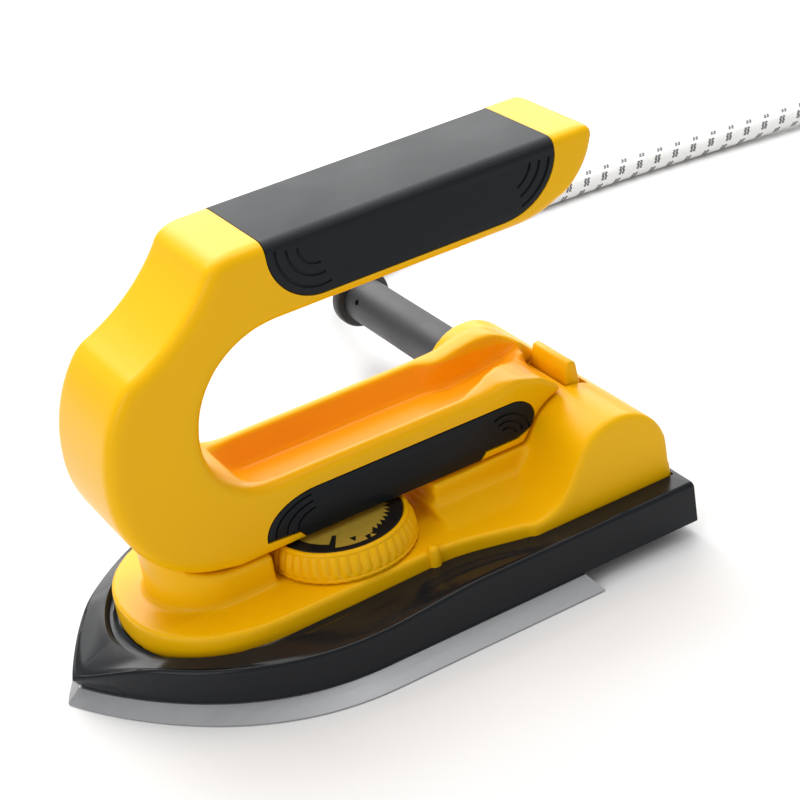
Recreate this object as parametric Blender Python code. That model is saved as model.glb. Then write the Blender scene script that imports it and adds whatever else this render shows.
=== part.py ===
"""A compact corded clothes iron: flared soleplate, heat shield, base housing, C-shaped handle with a
rubber grip, heat dial under the lower bar, swivelling cord sleeve and a braided lead with its plug.

Frame: metres, +Z up, the plate's sole on z = 0, nose towards -X, the user's left side towards -Y.
Sizes below are in millimetres and are turned into metres as each mesh is made.
"""
import math

import bmesh
import bpy
from mathutils import Matrix, Vector

MM = 0.001
GAP = 0.3                # clearance between neighbouring pieces

# soleplate
PLATE_LENGTH = 128.0     # nose to the rear edge of the plate
PLATE_WIDTH = 101.6
PLATE_FLARE = 5.1        # how far the bevelled edge reaches out past the skirt
PLATE_EDGE = 3.6         # height of the bevelled edge
PLATE_LIP = 0.5
PLATE_CORE_TOP = 7.0     # top of the thick casting inside the skirt
NOSE_X = -80.75
SHOULDER_X = -12.2       # where the curved nose meets the straight sides
NOSE_POWER = 2.2
NOSE_ROOT = 0.9

# skirt (heat shield)
SKIRT_REAR = 80.6
SKIRT_WALL = 2.0
SKIRT_TIP_OVERHANG = 1.4
SHOULDER_TIP = 7.6       # height of the skirt's edge at the nose tip
SHOULDER_FRONT = 13.8
SHOULDER_REAR = 15.7

# base housing
HOUSING_NOSE = -61.5
HOUSING_HALF = 31.0      # half width beside the dial
HOUSING_REAR_HALF = 38.6
HOUSING_REAR = 79.0
HOUSING_WALL = 2.0
DECK_TOP = 19.2          # flat top round the front of the housing
BARREL_X = 64.6
BARREL_Z = 24.4
BARREL_R = 14.2
ISLAND_HALF = 16.4       # front block that carries the handle
ISLAND_FRONT = -53.5
ISLAND_REAR = -25.4
BLOCK_FRONT = 20.8       # rear block under the lower bar
BLOCK_REAR = 52.0
BLOCK_HALF = 17.2

# handle
HANDLE_WIDTH = 34.0
HANDLE_TOP = 107.6
HANDLE_ROUND = 3.0
HANDLE_REAR = 80.75
HANDLE_WALL = 2.6
BAR_DEPTH = 20.0         # top bar, top to underside
LOWER_BOTTOM = 28.2
LOWER_TOP = 46.4
TROUGH_FLOOR = 39.0

# grip and side panels
GRIP_FRONT = -11.55
GRIP_REAR = 69.0
GRIP_SKIN = 1.8
GRIP_FLANK = 17.0        # height of the grip's sides
PANEL_FRONT = -26.0
PANEL_REAR = 53.0
PANEL_BOTTOM = 29.6
PANEL_TOP = 41.4
PANEL_SKIN = 1.5

# heat dial
DIAL_X = -4.2
DIAL_Y = -11.3
DIAL_R_TOP = 17.6
DIAL_R_BOTTOM = 19.6
DIAL_BOTTOM = 19.6
DIAL_HEIGHT = 7.8
DIAL_RIBS = 44
SPINDLE_R = 3.0

# cord sleeve and lead
SLEEVE_R = 7.0
SLEEVE_BORE_R = 4.3
SLEEVE_END = 100.5
COLLAR_R = 9.3
COLLAR_LENGTH = 4.0
FLANGE_R = 9.6
BUSH_R = 9.4
CORD_R = 3.75
COIL_X = 324.0
COIL_Y = 99.1
COIL_MID_R = 43.0
COIL_ROWS = 3
COIL_LIFT = 1.2
PLUG_X = 340.0
PLUG_Y = 28.1
PLUG_LENGTH = 36.0
PLUG_WIDTH = 30.0
PLUG_HEIGHT = 26.0

# inside
ELEMENT_R = 3.0
SCREW_R = 1.6
SCREW_HEAD_R = 3.1
LEAD_R = 1.1

YELLOW = (0.90, 0.62, 0.01)
BLACK = (0.012, 0.013, 0.016)

# places worked out from the sizes above, and the remaining small sizes
NOSE_STEPS = 10
STATIONS = (0.0, 12.0, 20.0, 28.0, 36.0, 43.0, 70.0)
PLATE_REAR = NOSE_X + PLATE_LENGTH
SKIRT_HALF = PLATE_WIDTH / 2 - PLATE_FLARE
SKIRT_FOOT_NOSE = NOSE_X + 3.9
CORE_HALF = SKIRT_HALF - SKIRT_WALL - 0.5
DECK_UNDER = DECK_TOP - HOUSING_WALL
ISLAND_TOP = LOWER_BOTTOM - GAP
LUGS = ((-48.0, 0.0), (30.0, 27.0), (30.0, -27.0))
LUG_R = 5.2
LUG_TOP = 13.0
LIP_TOP = 10.6
LIP_BOTTOM = 9.0
LIP_WIDTH = 4.0
BORDER_FRONT = 12.3
BORDER_RISE_FRONT = 2.1
BORDER_RISE_REAR = 1.5
HANDLE_SCREWS = (-38.0, 36.0)
TAB_FRONT = 65.0
TAB_LEFT = -14.5
TAB_RIGHT = 2.5
TAB_TOP = 44.6
TAB_THICK = 3.2
TAB_PIN_Z = 31.6
POST_X = 52.2
POST_PLACES = (-30.8, 30.8)
POST_TOP = 26.2
COVER_BOTTOM = 4.0
COVER_TOP = 6.0
LIMB_SCREWS = ((-33.2, 35.6), (-51.5, 60.0), (-33.5, 88.0))
CLAMP_Y = 19.0
CLAMP_WIDE = 8.0
CLAMP_HALF = 8.6
CLAMP_SCREW = 6.6
TERMINAL_ROWS = (-9.0, 0.0, 9.0)
CORD_INNER_END = 17.6
EXIT_Y = SLEEVE_END + COLLAR_LENGTH


# ---------- shared modelling steps ----------

def clear_scene():
    for obj in list(bpy.data.objects):
        bpy.data.objects.remove(obj, do_unlink=True)


def material(name, colour, roughness, metallic=0.0):
    mat = bpy.data.materials.get(name)
    if mat is None:
        mat = bpy.data.materials.new(name)
        mat.use_nodes = True
        shader = mat.node_tree.nodes["Principled BSDF"]
        shader.inputs["Base Color"].default_value = (*colour, 1.0)
        shader.inputs["Roughness"].default_value = roughness
        shader.inputs["Metallic"].default_value = metallic
    return mat


def add_object(name, bm, mat=None, smooth=False):
    """Turns a bmesh in millimetres into an object in metres."""
    bmesh.ops.scale(bm, vec=(MM, MM, MM), verts=bm.verts)
    bmesh.ops.recalc_face_normals(bm, faces=bm.faces)
    mesh = bpy.data.meshes.new(name)
    bm.to_mesh(mesh)
    bm.free()
    obj = bpy.data.objects.new(name, mesh)
    bpy.context.scene.collection.objects.link(obj)
    if mat is not None:
        mesh.materials.append(mat)
    if smooth:
        mesh.shade_smooth()
        mesh.set_sharp_from_angle(angle=math.radians(35))
    return obj


def arc(cx, cy, rx, ry, start, end, steps):
    """Points on an elliptical arc, both ends included; angles in degrees."""
    points = []
    for i in range(steps + 1):
        a = math.radians(start + (end - start) * i / steps)
        points.append((cx + rx * math.cos(a), cy + ry * math.sin(a)))
    return points


def prism_mesh(outline, axis, low, high):
    """An outline pushed along Z (outline in x, y) or along Y (outline in x, z)."""
    bm = bmesh.new()
    if axis == "z":
        ring = [bm.verts.new((x, y, low)) for x, y in outline]
        push = (0, 0, high - low)
    else:
        ring = [bm.verts.new((x, low, z)) for x, z in outline]
        push = (0, high - low, 0)
    face = bm.faces.new(ring)
    grown = bmesh.ops.extrude_face_region(bm, geom=[face])["geom"]
    bmesh.ops.translate(bm, vec=push, verts=[g for g in grown if isinstance(g, bmesh.types.BMVert)])
    return bm


def prism(name, outline, axis, low, high, mat=None, smooth=False):
    return add_object(name, prism_mesh(outline, axis, low, high), mat, smooth)


def turned_mesh(profile, steps):
    """A closed profile of (radius, height) points turned about Z."""
    bm = bmesh.new()
    verts = [bm.verts.new((r, 0, h)) for r, h in profile]
    for a, b in zip(verts, verts[1:] + verts[:1]):
        if a.co.x > 1e-6 or b.co.x > 1e-6:
            bm.edges.new((a, b))
    bmesh.ops.spin(bm, geom=bm.verts[:] + bm.edges[:], cent=(0, 0, 0), axis=(0, 0, 1),
                   angle=math.tau, steps=steps, use_merge=True)
    bmesh.ops.remove_doubles(bm, verts=bm.verts, dist=1e-4)
    return bm


def turned(name, profile, centre, axis, steps, mat=None, smooth=True):
    """A turned piece whose height runs along the given axis from the centre point."""
    bm = turned_mesh(profile, steps)
    turn = Vector((0, 0, 1)).rotation_difference(Vector(axis)).to_matrix().to_4x4()
    bmesh.ops.transform(bm, matrix=Matrix.Translation(centre) @ turn, verts=bm.verts)
    return add_object(name, bm, mat, smooth)


def cylinder_profile(radius, length, chamfer=0.0):
    if chamfer == 0.0:
        return [(0, 0), (radius, 0), (radius, length), (0, length)]
    return [(0, 0), (radius - chamfer, 0), (radius, chamfer), (radius, length - chamfer),
            (radius - chamfer, length), (0, length)]


def box(name, low, high, mat=None, bevel=0.0):
    outline = [(low[0], low[1]), (high[0], low[1]), (high[0], high[1]), (low[0], high[1])]
    obj = prism(name, outline, "z", low[2], high[2], mat)
    if bevel:
        round_edges(obj, bevel, 2)
    return obj


def round_edges(obj, width, segments=2, angle=40):
    mod = obj.modifiers.new("rounding", "BEVEL")
    mod.width = width * MM
    mod.segments = segments
    mod.limit_method = "ANGLE"
    mod.angle_limit = math.radians(angle)


def combine(obj, other, operation):
    mod = obj.modifiers.new(operation.lower(), "BOOLEAN")
    mod.operation = operation
    mod.solver = "EXACT"
    mod.object = other
    other.hide_render = True
    other.display_type = "WIRE"


def cut(obj, *others):
    for other in others:
        combine(obj, other, "DIFFERENCE")


def join(obj, *others):
    for other in others:
        combine(obj, other, "UNION")


def smooth_curve(points, per_span):
    """Catmull-Rom points through the hand-chosen points of a route."""
    path = [Vector(p) for p in points]
    path = [path[0] * 2 - path[1]] + path + [path[-1] * 2 - path[-2]]
    result = []
    for i in range(1, len(path) - 2):
        a, b, c, d = path[i - 1:i + 3]
        for k in range(per_span):
            t = k / per_span
            result.append(0.5 * (2 * b + (c - a) * t + (2 * a - 5 * b + 4 * c - d) * t * t
                                 + (3 * b - a - 3 * c + d) * t ** 3))
    result.append(path[-2])
    return result


def tube(name, points, radius, mat, resolution=2):
    """A round cord or wire: a poly curve with a bevel and filled caps."""
    curve = bpy.data.curves.new(name, "CURVE")
    curve.dimensions = "3D"
    curve.bevel_depth = radius * MM
    curve.bevel_resolution = resolution
    curve.use_fill_caps = True
    spline = curve.splines.new("POLY")
    spline.points.add(len(points) - 1)
    for slot, point in zip(spline.points, points):
        slot.co = (*(Vector(point) * MM), 1.0)
    obj = bpy.data.objects.new(name, curve)
    bpy.context.scene.collection.objects.link(obj)
    curve.materials.append(mat)
    return obj


# ---------- outlines that several pieces share ----------

def nose_outline(nose, half, rear):
    """Plan outline of the plate or the skirt: a curved nose, straight sides, a square rear."""
    side = []
    for i in range(1, NOSE_STEPS + 1):
        u = math.cos(0.5 * math.pi * i / NOSE_STEPS)
        x = SHOULDER_X - (SHOULDER_X - nose) * u
        side.append((x, half * (1 - u ** NOSE_POWER) ** NOSE_ROOT))
    side += [(x, half) for x in STATIONS if x < rear - 1]
    right = [(nose, 0.0)] + side + [(rear, half)]
    return [(x, -y) for x, y in right] + list(reversed(right[1:]))


def housing_half(x):
    """Half width of the base housing at a place along its length."""
    t = min(1.0, max(0.0, (x - 12.0) / 32.0))
    return HOUSING_HALF + (HOUSING_REAR_HALF - HOUSING_HALF) * t * t * (3 - 2 * t)


def housing_outline(inset=0.0):
    """Plan outline of the base housing: a round nose that widens towards the rear."""
    reach = HOUSING_HALF + 0.5
    centre = HOUSING_NOSE + reach
    side = []
    for i in range(1, NOSE_STEPS + 1):
        a = math.radians(90 * i / NOSE_STEPS)
        x = centre - (reach - inset) * max(0.0, math.cos(a)) ** 0.92
        side.append((x, (HOUSING_HALF - inset) * math.sin(a) ** 0.92))
    side += [(x, housing_half(x) - inset) for x in STATIONS]
    right = [(HOUSING_NOSE + inset, 0.0)] + side + [(HOUSING_REAR - inset, HOUSING_REAR_HALF - inset)]
    return [(x, -y) for x, y in right] + list(reversed(right[1:]))


def offset_outline(points, distance):
    """Moves a closed counterclockwise outline outward, by one distance or by one for each point."""
    steps = distance if isinstance(distance, list) else [distance] * len(points)
    result = []
    for i, here in enumerate(points):
        before = Vector(here) - Vector(points[i - 1])
        after = Vector(points[(i + 1) % len(points)]) - Vector(here)
        n1 = Vector((before.y, -before.x)).normalized()
        n2 = Vector((after.y, -after.x)).normalized()
        mitre = (n1 + n2).normalized()
        reach = steps[i] / max(0.35, mitre.dot(n1))
        result.append((here[0] + mitre.x * reach, here[1] + mitre.y * reach))
    return result


def shoulder_height(x):
    """Height of the skirt's upper edge: low at the tip, level along the side."""
    rise = min(1.0, max(0.0, (x + 78.2) / 16.0))
    front = SHOULDER_TIP + (SHOULDER_FRONT - SHOULDER_TIP) * math.sin(0.5 * math.pi * rise)
    step = min(1.0, max(0.0, (x + 12.0) / 30.0))
    return front + (SHOULDER_REAR - SHOULDER_FRONT) * step * step * (3 - 2 * step)


def border_height(x):
    """Height of the skirt's roof where it meets the base housing."""
    front = min(1.0, max(0.0, (x - HOUSING_NOSE) / 20.0))
    rear = min(1.0, max(0.0, (x + 12.0) / 57.0))
    return BORDER_FRONT + BORDER_RISE_FRONT * front + BORDER_RISE_REAR * rear


def barrel_arc(radius, start, end, steps):
    return arc(BARREL_X, BARREL_Z, radius, radius, start, end, steps)


def stack_rings(levels):
    """A closed solid through a stack of outlines, each a list of (x, y, z) points."""
    bm = bmesh.new()
    rings = [[bm.verts.new(p) for p in level] for level in levels]
    for lower, upper in zip(rings, rings[1:]):
        for i in range(len(lower)):
            j = (i + 1) % len(lower)
            bm.faces.new((lower[i], lower[j], upper[j], upper[i]))
    bm.faces.new(reversed(rings[0]))
    bm.faces.new(rings[-1])
    return bm


def at_height(outline, z):
    return [(x, y, z) for x, y in outline]


# ---------- soleplate and what is clamped to it ----------

def make_soleplate():
    """Cast plate: sharp flared edge outside, thick core with the element's groove inside."""
    mat = material("plate_alloy", (0.42, 0.43, 0.44), 0.32, 1.0)
    low = nose_outline(NOSE_X, PLATE_WIDTH / 2, PLATE_REAR)
    high = nose_outline(SKIRT_FOOT_NOSE - 0.2, SKIRT_HALF - 0.1, PLATE_REAR - 2.0)
    core = nose_outline(SKIRT_FOOT_NOSE + 7.0, CORE_HALF, PLATE_REAR - 2.2)
    bm = stack_rings([at_height(low, 0.0), at_height(low, PLATE_LIP), at_height(high, PLATE_EDGE),
                      at_height(core, PLATE_EDGE), at_height(core, PLATE_CORE_TOP)])
    plate = add_object("soleplate", bm, mat)
    groove = tube("element_groove", element_path(), ELEMENT_R + GAP, mat)
    solid = bpy.data.objects.new("element_groove_solid", bpy.data.meshes.new_from_object(groove))
    bpy.context.scene.collection.objects.link(solid)
    bpy.data.objects.remove(groove)
    cut(plate, solid)
    for x, y in LUGS:
        hole = turned("plate_hole", cylinder_profile(SCREW_R + GAP, 6), (x, y, 3.4), (0, 0, 1), 12)
        cut(plate, hole)


def element_path():
    """The heater's U: two legs joined round the nose, both ends turned up at the rear."""
    z = PLATE_CORE_TOP - 1.4
    left = [(38, -17, z + 5.5), (38, -17, z + 3), (35, -17.3, z + 0.6), (28, -18, z), (0, -22, z),
            (-24, -22, z), (-42, -17, z), (-55, -9.5, z)]
    right = [(x, -y, h) for x, y, h in reversed(left)]
    return smooth_curve(left + [(-60, 0, z)] + right, 2)


def make_element():
    sheath = material("element_sheath", (0.30, 0.29, 0.28), 0.45, 1.0)
    tube("heating_element", element_path(), ELEMENT_R, sheath)
    pin = material("nickel_pin", (0.55, 0.54, 0.50), 0.35, 1.0)
    for name, y in (("element_pin_left", -17), ("element_pin_right", 17)):
        start = (38, y, PLATE_CORE_TOP + 4.1 + GAP)
        turned(name, cylinder_profile(1.2, 3.2, 0.2), start, (0, 0, 1), 10, pin)


def make_pressure_plate():
    """Sheet steel cover over the element, with a window for the heat control."""
    steel = material("zinc_sheet", (0.50, 0.50, 0.49), 0.4, 1.0)
    outline = [(x, y) for x, y in offset_outline(housing_outline(), -4.2) if x < 26]
    plate = prism("pressure_plate", outline, "z", 11.0, 12.0, steel)
    cut(plate, turned("control_window", cylinder_profile(9.5, 4), (DIAL_X, DIAL_Y, 9.5), (0, 0, 1), 24))
    cut(plate, turned("front_lug_window", cylinder_profile(LUG_R + 0.6, 4), (*LUGS[0], 9.5), (0, 0, 1), 16))


def make_heat_control():
    """Thermostat: bracket, ceramic stack, bimetal, contact blade, brass bush and spindle."""
    steel = material("zinc_sheet", (0.50, 0.50, 0.49), 0.4, 1.0)
    brass = material("brass", (0.62, 0.43, 0.14), 0.35, 1.0)
    ceramic = material("ceramic", (0.80, 0.78, 0.72), 0.6)
    base = PLATE_CORE_TOP + GAP
    box("thermostat_bracket", (DIAL_X - 11, DIAL_Y - 4.5, base), (DIAL_X + 15, DIAL_Y + 4.5, base + 1), steel)
    centre = (DIAL_X, DIAL_Y, base + 1 + GAP)
    turned("thermostat_body", cylinder_profile(6.2, 3.4, 0.4), centre, (0, 0, 1), 20, ceramic)
    low = base + 1 + GAP + 3.4 + GAP
    box("bimetal_strip", (DIAL_X - 10, DIAL_Y - 3, low), (DIAL_X + 8, DIAL_Y + 3, low + 0.6), brass)
    box("contact_blade", (DIAL_X - 8, DIAL_Y - 2.4, low + 0.9), (DIAL_X + 10, DIAL_Y + 2.4, low + 1.2), steel)
    bush_low = low + 1.2 + GAP
    ring = [(SPINDLE_R + GAP, 0), (5.0, 0), (5.0, DECK_UNDER - GAP - bush_low),
            (SPINDLE_R + GAP, DECK_UNDER - GAP - bush_low)]
    turned("control_bush", ring, (DIAL_X, DIAL_Y, bush_low), (0, 0, 1), 18, brass)
    length = DIAL_BOTTOM + 6.1 - bush_low
    turned("control_spindle", cylinder_profile(SPINDLE_R, length, 0.3), (DIAL_X, DIAL_Y, bush_low),
           (0, 0, 1), 18, steel)


def make_dial():
    """Ribbed dial with a hollow underside and a hub on the spindle; a printed disc lies in its top."""
    yellow = material("yellow_plastic", YELLOW, 0.28)
    top = DIAL_HEIGHT
    profile = [(0, top - 0.9), (DIAL_R_TOP - 0.7, top - 0.9), (DIAL_R_TOP - 0.7, top), (DIAL_R_TOP, top),
               (DIAL_R_TOP + 1.0, top - 0.8), (DIAL_R_BOTTOM - 0.3, top * 0.45), (DIAL_R_BOTTOM, 0.8),
               (DIAL_R_BOTTOM - 0.4, 0), (17.2, 0), (16.2, top - 2.6), (5.2, top - 2.6), (5.2, 0.2),
               (SPINDLE_R + GAP, 0.2), (SPINDLE_R + GAP, 6.4), (0, 6.4)]
    bm = turned_mesh(profile, DIAL_RIBS * 2)
    for vert in bm.verts:
        radius = math.hypot(vert.co.x, vert.co.y)
        turn = round(math.atan2(vert.co.y, vert.co.x) / (math.pi / DIAL_RIBS))
        if radius > DIAL_R_TOP + 0.2 and turn % 2:
            shrink = (radius - 0.45) / radius
            vert.co.x *= shrink
            vert.co.y *= shrink
    bmesh.ops.translate(bm, vec=(DIAL_X, DIAL_Y, DIAL_BOTTOM), verts=bm.verts)
    knob = add_object("dial_knob", bm, yellow)
    set_origin(knob, (DIAL_X, DIAL_Y, DIAL_BOTTOM))
    card = material("dial_card", (0.10, 0.09, 0.06), 0.5)
    turned("dial_disc", cylinder_profile(DIAL_R_TOP - 1.0, 0.5), (DIAL_X, DIAL_Y, DIAL_BOTTOM + top - 0.6),
           (0, 0, 1), 40, card)


def set_origin(obj, place):
    """Puts an object's origin on its joint's axis without moving the mesh."""
    shift = Vector(place) * MM
    obj.data.transform(Matrix.Translation(-shift))
    obj.location = shift


# ---------- skirt and base housing ----------

def make_skirt():
    """Glossy heat shield: upright sides, a roof that slopes up to the housing, a lip and three lugs."""
    mat = material("black_phenolic", BLACK, 0.12)
    foot = nose_outline(SKIRT_FOOT_NOSE, SKIRT_HALF, SKIRT_REAR)
    edge = nose_outline(SKIRT_FOOT_NOSE - SKIRT_TIP_OVERHANG, SKIRT_HALF, SKIRT_REAR)
    back = SKIRT_REAR - SKIRT_WALL
    inner = nose_outline(SKIRT_FOOT_NOSE + SKIRT_WALL * 2.6, SKIRT_HALF - SKIRT_WALL, back)
    under = [(min(x, back - 0.3), y) for x, y in offset_outline(housing_outline(), SKIRT_WALL)]
    seat = offset_outline(housing_outline(), GAP)
    lip = offset_outline(housing_outline(), -LIP_WIDTH)
    foot_z = PLATE_EDGE + GAP
    sections = [at_height(foot, foot_z),
                [(x, y, shoulder_height(x)) for x, y in edge],
                [(x, y, border_height(x)) for x, y in seat],
                at_height(seat, LIP_TOP), at_height(lip, LIP_TOP), at_height(lip, LIP_BOTTOM),
                at_height(under, LIP_BOTTOM),
                [(x, y, LIP_BOTTOM + 0.3 if x > back - 1 else shoulder_height(x) - SKIRT_WALL)
                 for x, y in inner],
                at_height(inner, foot_z)]
    bm = bmesh.new()
    rings = [[bm.verts.new(p) for p in section] for section in sections]
    for lower, upper in zip(rings, rings[1:] + rings[:1]):
        for i in range(len(lower)):
            j = (i + 1) % len(lower)
            bm.faces.new((lower[i], lower[j], upper[j], upper[i]))
    skirt = add_object("skirt", bm, mat)
    join(skirt, box("front_bridge", (HOUSING_NOSE + 2, -4, LIP_BOTTOM + 0.1), (LUGS[0][0], 4, LIP_TOP - 0.1)))
    for x, y in LUGS:
        base = PLATE_CORE_TOP + GAP
        lug = turned("skirt_lug", cylinder_profile(LUG_R, LUG_TOP - base), (x, y, base), (0, 0, 1), 18)
        join(skirt, lug)
    for x, y in LUGS:
        hole = turned("lug_hole", cylinder_profile(SCREW_R + GAP, 12), (x, y, 4.0), (0, 0, 1), 10)
        cut(skirt, hole)


def hump_outline(inset):
    """Side profile of the housing's rear: a hollow rise into the round barrel."""
    front = [(40.0, 10.0), (40.0, DECK_TOP - inset), (44.5, 21.2 - inset), (48.2 + inset, 25.2 - inset)]
    crown = barrel_arc(BARREL_R - inset, 152, 0, 12)
    return list(reversed(front + crown + [(BARREL_X + BARREL_R - inset, 10.0)]))


def island_outline(inset):
    """Plan of the front block: a round front and a rear hollowed round the dial."""
    half = ISLAND_HALF - inset
    front = ISLAND_FRONT + inset
    nose = arc(front + 15, 0, 15, half, 90, 270, 10)
    return nose + [(ISLAND_REAR - inset, -half), (ISLAND_REAR - inset, half)]


def make_housing():
    """Moulded shell: deck, front island, rear block and the barrel that holds the cord sleeve."""
    mat = material("yellow_plastic", YELLOW, 0.28)
    shell = prism("base_housing", housing_outline(), "z", LIP_TOP + GAP, DECK_TOP, mat)
    round_edges(shell, 1.2)
    hump = prism("hump_form", hump_outline(0.0), "y", -HOUSING_REAR_HALF, HOUSING_REAR_HALF)
    round_edges(hump, 2.0, angle=60)
    trim = prism("hump_trim", [(30, 0), (90, 0), (90, LIP_TOP + GAP), (30, LIP_TOP + GAP)], "y", -60, 60)
    cut(hump, trim)
    island = prism("island_form", island_outline(0.0), "z", DECK_UNDER, 40)
    cut(island, prism("handle_clearance", handle_foot_outline(GAP), "y", -30, 30))
    block_low = [(BLOCK_FRONT, DECK_UNDER), (BLOCK_REAR, DECK_UNDER), (BLOCK_REAR, ISLAND_TOP),
                 (BLOCK_FRONT, ISLAND_TOP)]
    block = prism("block_form", block_low, "y", -BLOCK_HALF, BLOCK_HALF)
    crown_side = [(-30, 18.4), (30, 18.4), (17, 22.5), (-17, 22.5)]
    crown = prism("crown_form", crown_side, "z", 19.0, 52.0)
    crown.data.transform(Matrix(((0, 0, 1, 0), (1, 0, 0, 0), (0, 1, 0, 0), (0, 0, 0, 1))))
    join(shell, hump, island, block, crown)
    ridge = turned("index_form", cylinder_profile(1.3, 5.2, 0.6), (11.2, 0.8 - HOUSING_HALF, 15.4),
                   (0, 0, 1), 12)
    join(shell, ridge)
    hollow_housing(shell)


def hollow_housing(shell):
    """Cuts the inside of the shell and the holes that pieces pass through."""
    wall = HOUSING_WALL
    inner = offset_outline(housing_outline(), -wall)
    cut(shell, prism("deck_hollow", inner, "z", 5.0, DECK_UNDER))
    hump = prism("hump_hollow", hump_outline(wall), "y", wall - HOUSING_REAR_HALF, HOUSING_REAR_HALF - wall)
    cut(shell, hump)
    island = prism("island_hollow", island_outline(wall), "z", DECK_UNDER - 1, ISLAND_TOP - wall)
    block = box("block_hollow", (BLOCK_FRONT + wall, wall - BLOCK_HALF, DECK_UNDER - 1),
                (BLOCK_REAR + 2, BLOCK_HALF - wall, ISLAND_TOP - wall))
    cut(shell, island, block)
    for x in HANDLE_SCREWS:
        cut(shell, turned("handle_hole", cylinder_profile(SCREW_R + GAP, 9), (x, 0, 22), (0, 0, 1), 12))
    cut(shell, turned("spindle_hole", cylinder_profile(SPINDLE_R + 0.5, 6), (DIAL_X, DIAL_Y, 15), (0, 0, 1), 18))
    bush_hole = turned("sleeve_hole", cylinder_profile(BUSH_R + GAP, 9),
                       (BARREL_X, HOUSING_REAR_HALF - 5, BARREL_Z), (0, 1, 0), 24)
    slot = box("tab_slot", (TAB_FRONT - 0.6, TAB_LEFT - 0.5, 30), (TAB_FRONT + 6.4, TAB_RIGHT + 0.5, 50))
    cut(shell, bush_hole, slot)
    for y in POST_PLACES:
        post = turned("housing_post", cylinder_profile(3.2, POST_TOP - COVER_TOP - GAP),
                      (POST_X, y, COVER_TOP + GAP), (0, 0, 1), 14)
        join(shell, post)
    for y in POST_PLACES:
        hole = turned("post_hole", cylinder_profile(SCREW_R + GAP, 14), (POST_X, y, COVER_TOP - 2), (0, 0, 1), 12)
        cut(shell, hole)


# ---------- handle ----------

def bulge_arc(grow, start, end, steps, tall):
    return arc(-33.6, 57.0, 28.7 + grow, tall + grow, start, end, steps)


def handle_foot_outline(grow):
    """The handle's rounded chin and flat underside, grown by a clearance, for cutting the island."""
    chin = bulge_arc(grow, 150, 270, 14, 29.0)
    return chin + [(0, LOWER_BOTTOM - grow), (0, 90)]


def handle_outline():
    """Side profile of the whole handle: a C that is open at the rear."""
    top = [(HANDLE_REAR - 2.6, HANDLE_TOP), (-19.5, HANDLE_TOP)]
    brow = arc(-19.5, 101.2, 8.6, 6.4, 100, 150, 3)
    waist = arc(-69.4, 134.0, 52.0, 52.0, -35.3, -66.0, 6) + [(-50.5, 85.6)]
    bulge = bulge_arc(0, 132, 180, 6, 36.0) + bulge_arc(0, 180, 270, 9, 29.0)[1:]
    underside = [(-20.0, LOWER_BOTTOM), (49.4, LOWER_BOTTOM)]
    heel = barrel_arc(BARREL_R + GAP + 0.1, 152, 77, 6)
    hump = [(68.6, 39.6), (66.0, 42.6), (62.0, 46.4), (58.0, 48.4), (54.0, 48.9), (48.0, 48.0), (42.0, 46.6)]
    inner = [(36.0, LOWER_TOP)] + arc(-20.6, LOWER_TOP + 16, 16, 16, 270, 180, 6)
    inner += arc(-11.5, 62.4, 25.1, 25.1, 180, 90, 8)[1:]
    tail = arc(56.0, HANDLE_TOP, HANDLE_REAR - 56.0, BAR_DEPTH, -90, -10, 8)
    return top + brow + waist + bulge + underside + heel + hump + inner + tail


def rounded_handle(mat):
    """The handle's outline in layers across its width, pulled in towards both sides as round rims."""
    outline = handle_outline()
    shares = []
    for x, z in outline:
        seated = (z < LOWER_BOTTOM + 0.8 and x > -36) or (x > 45 and z < 41)
        shares.append(0.25 if seated else 1.0)
    near = []
    for turn in (0, 35, 65, 90):
        a = math.radians(turn)
        inset = [-HANDLE_ROUND * (1 - math.sin(a)) * share for share in shares]
        near.append((HANDLE_WIDTH / 2 - HANDLE_ROUND * (1 - math.cos(a)), offset_outline(outline, inset)))
    levels = [[(x, -y, z) for x, z in ring] for y, ring in near]
    levels += [[(x, y, z) for x, z in ring] for y, ring in reversed(near)]
    return add_object("handle_body", stack_rings(levels), mat)


def grip_outline():
    """Side of the grip: square at the top, large rounds at both lower corners."""
    low = HANDLE_TOP - GRIP_FLANK
    front = arc(GRIP_FRONT + 13.0, low + 13.0, 13.0, 13.0, 180, 270, 6)
    rear = arc(GRIP_REAR - 17.0, HANDLE_TOP - 2, 17.0, GRIP_FLANK - 2, -90, -10, 6)
    return [(GRIP_REAR, HANDLE_TOP), (GRIP_FRONT, HANDLE_TOP)] + front + rear


def panel_outline():
    """Side panel of the lower bar: curved front, round rear end, a stepped lower edge."""
    low, mid = PANEL_BOTTOM + 1.4, PANEL_BOTTOM - 0.6
    front = arc(PANEL_FRONT + 15.5, PANEL_TOP - 9.8, 15.5, 9.8, 180, 90, 5)
    rear = arc(PANEL_REAR - 6.4, PANEL_TOP - 5.4, 6.4, 5.4, 90, -40, 6)
    step = [(PANEL_REAR - 6.0, low), (37.5, low), (35.5, mid), (-15.5, mid), (-17.0, low)]
    return list(reversed(front + rear + step))


def limb_hollow():
    """Outline of the hollow in the handle's front limb, which the far side's cover closes."""
    return [(-28.0, 31.2), (-28.0, 40.5), (-34.0, 47.0), (-39.4, 56.0), (-39.8, 65.0), (-37.2, 74.5),
            (-32.0, 82.0), (-25.5, 87.6), (-26.5, 97.0), (-35.0, 90.3), (-46.0, 83.4), (-53.0, 78.5),
            (-57.3, 70.0), (-58.8, 60.0), (-57.0, 47.5), (-50.5, 38.5), (-43.5, 33.4), (-36.0, 31.4)]


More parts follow.
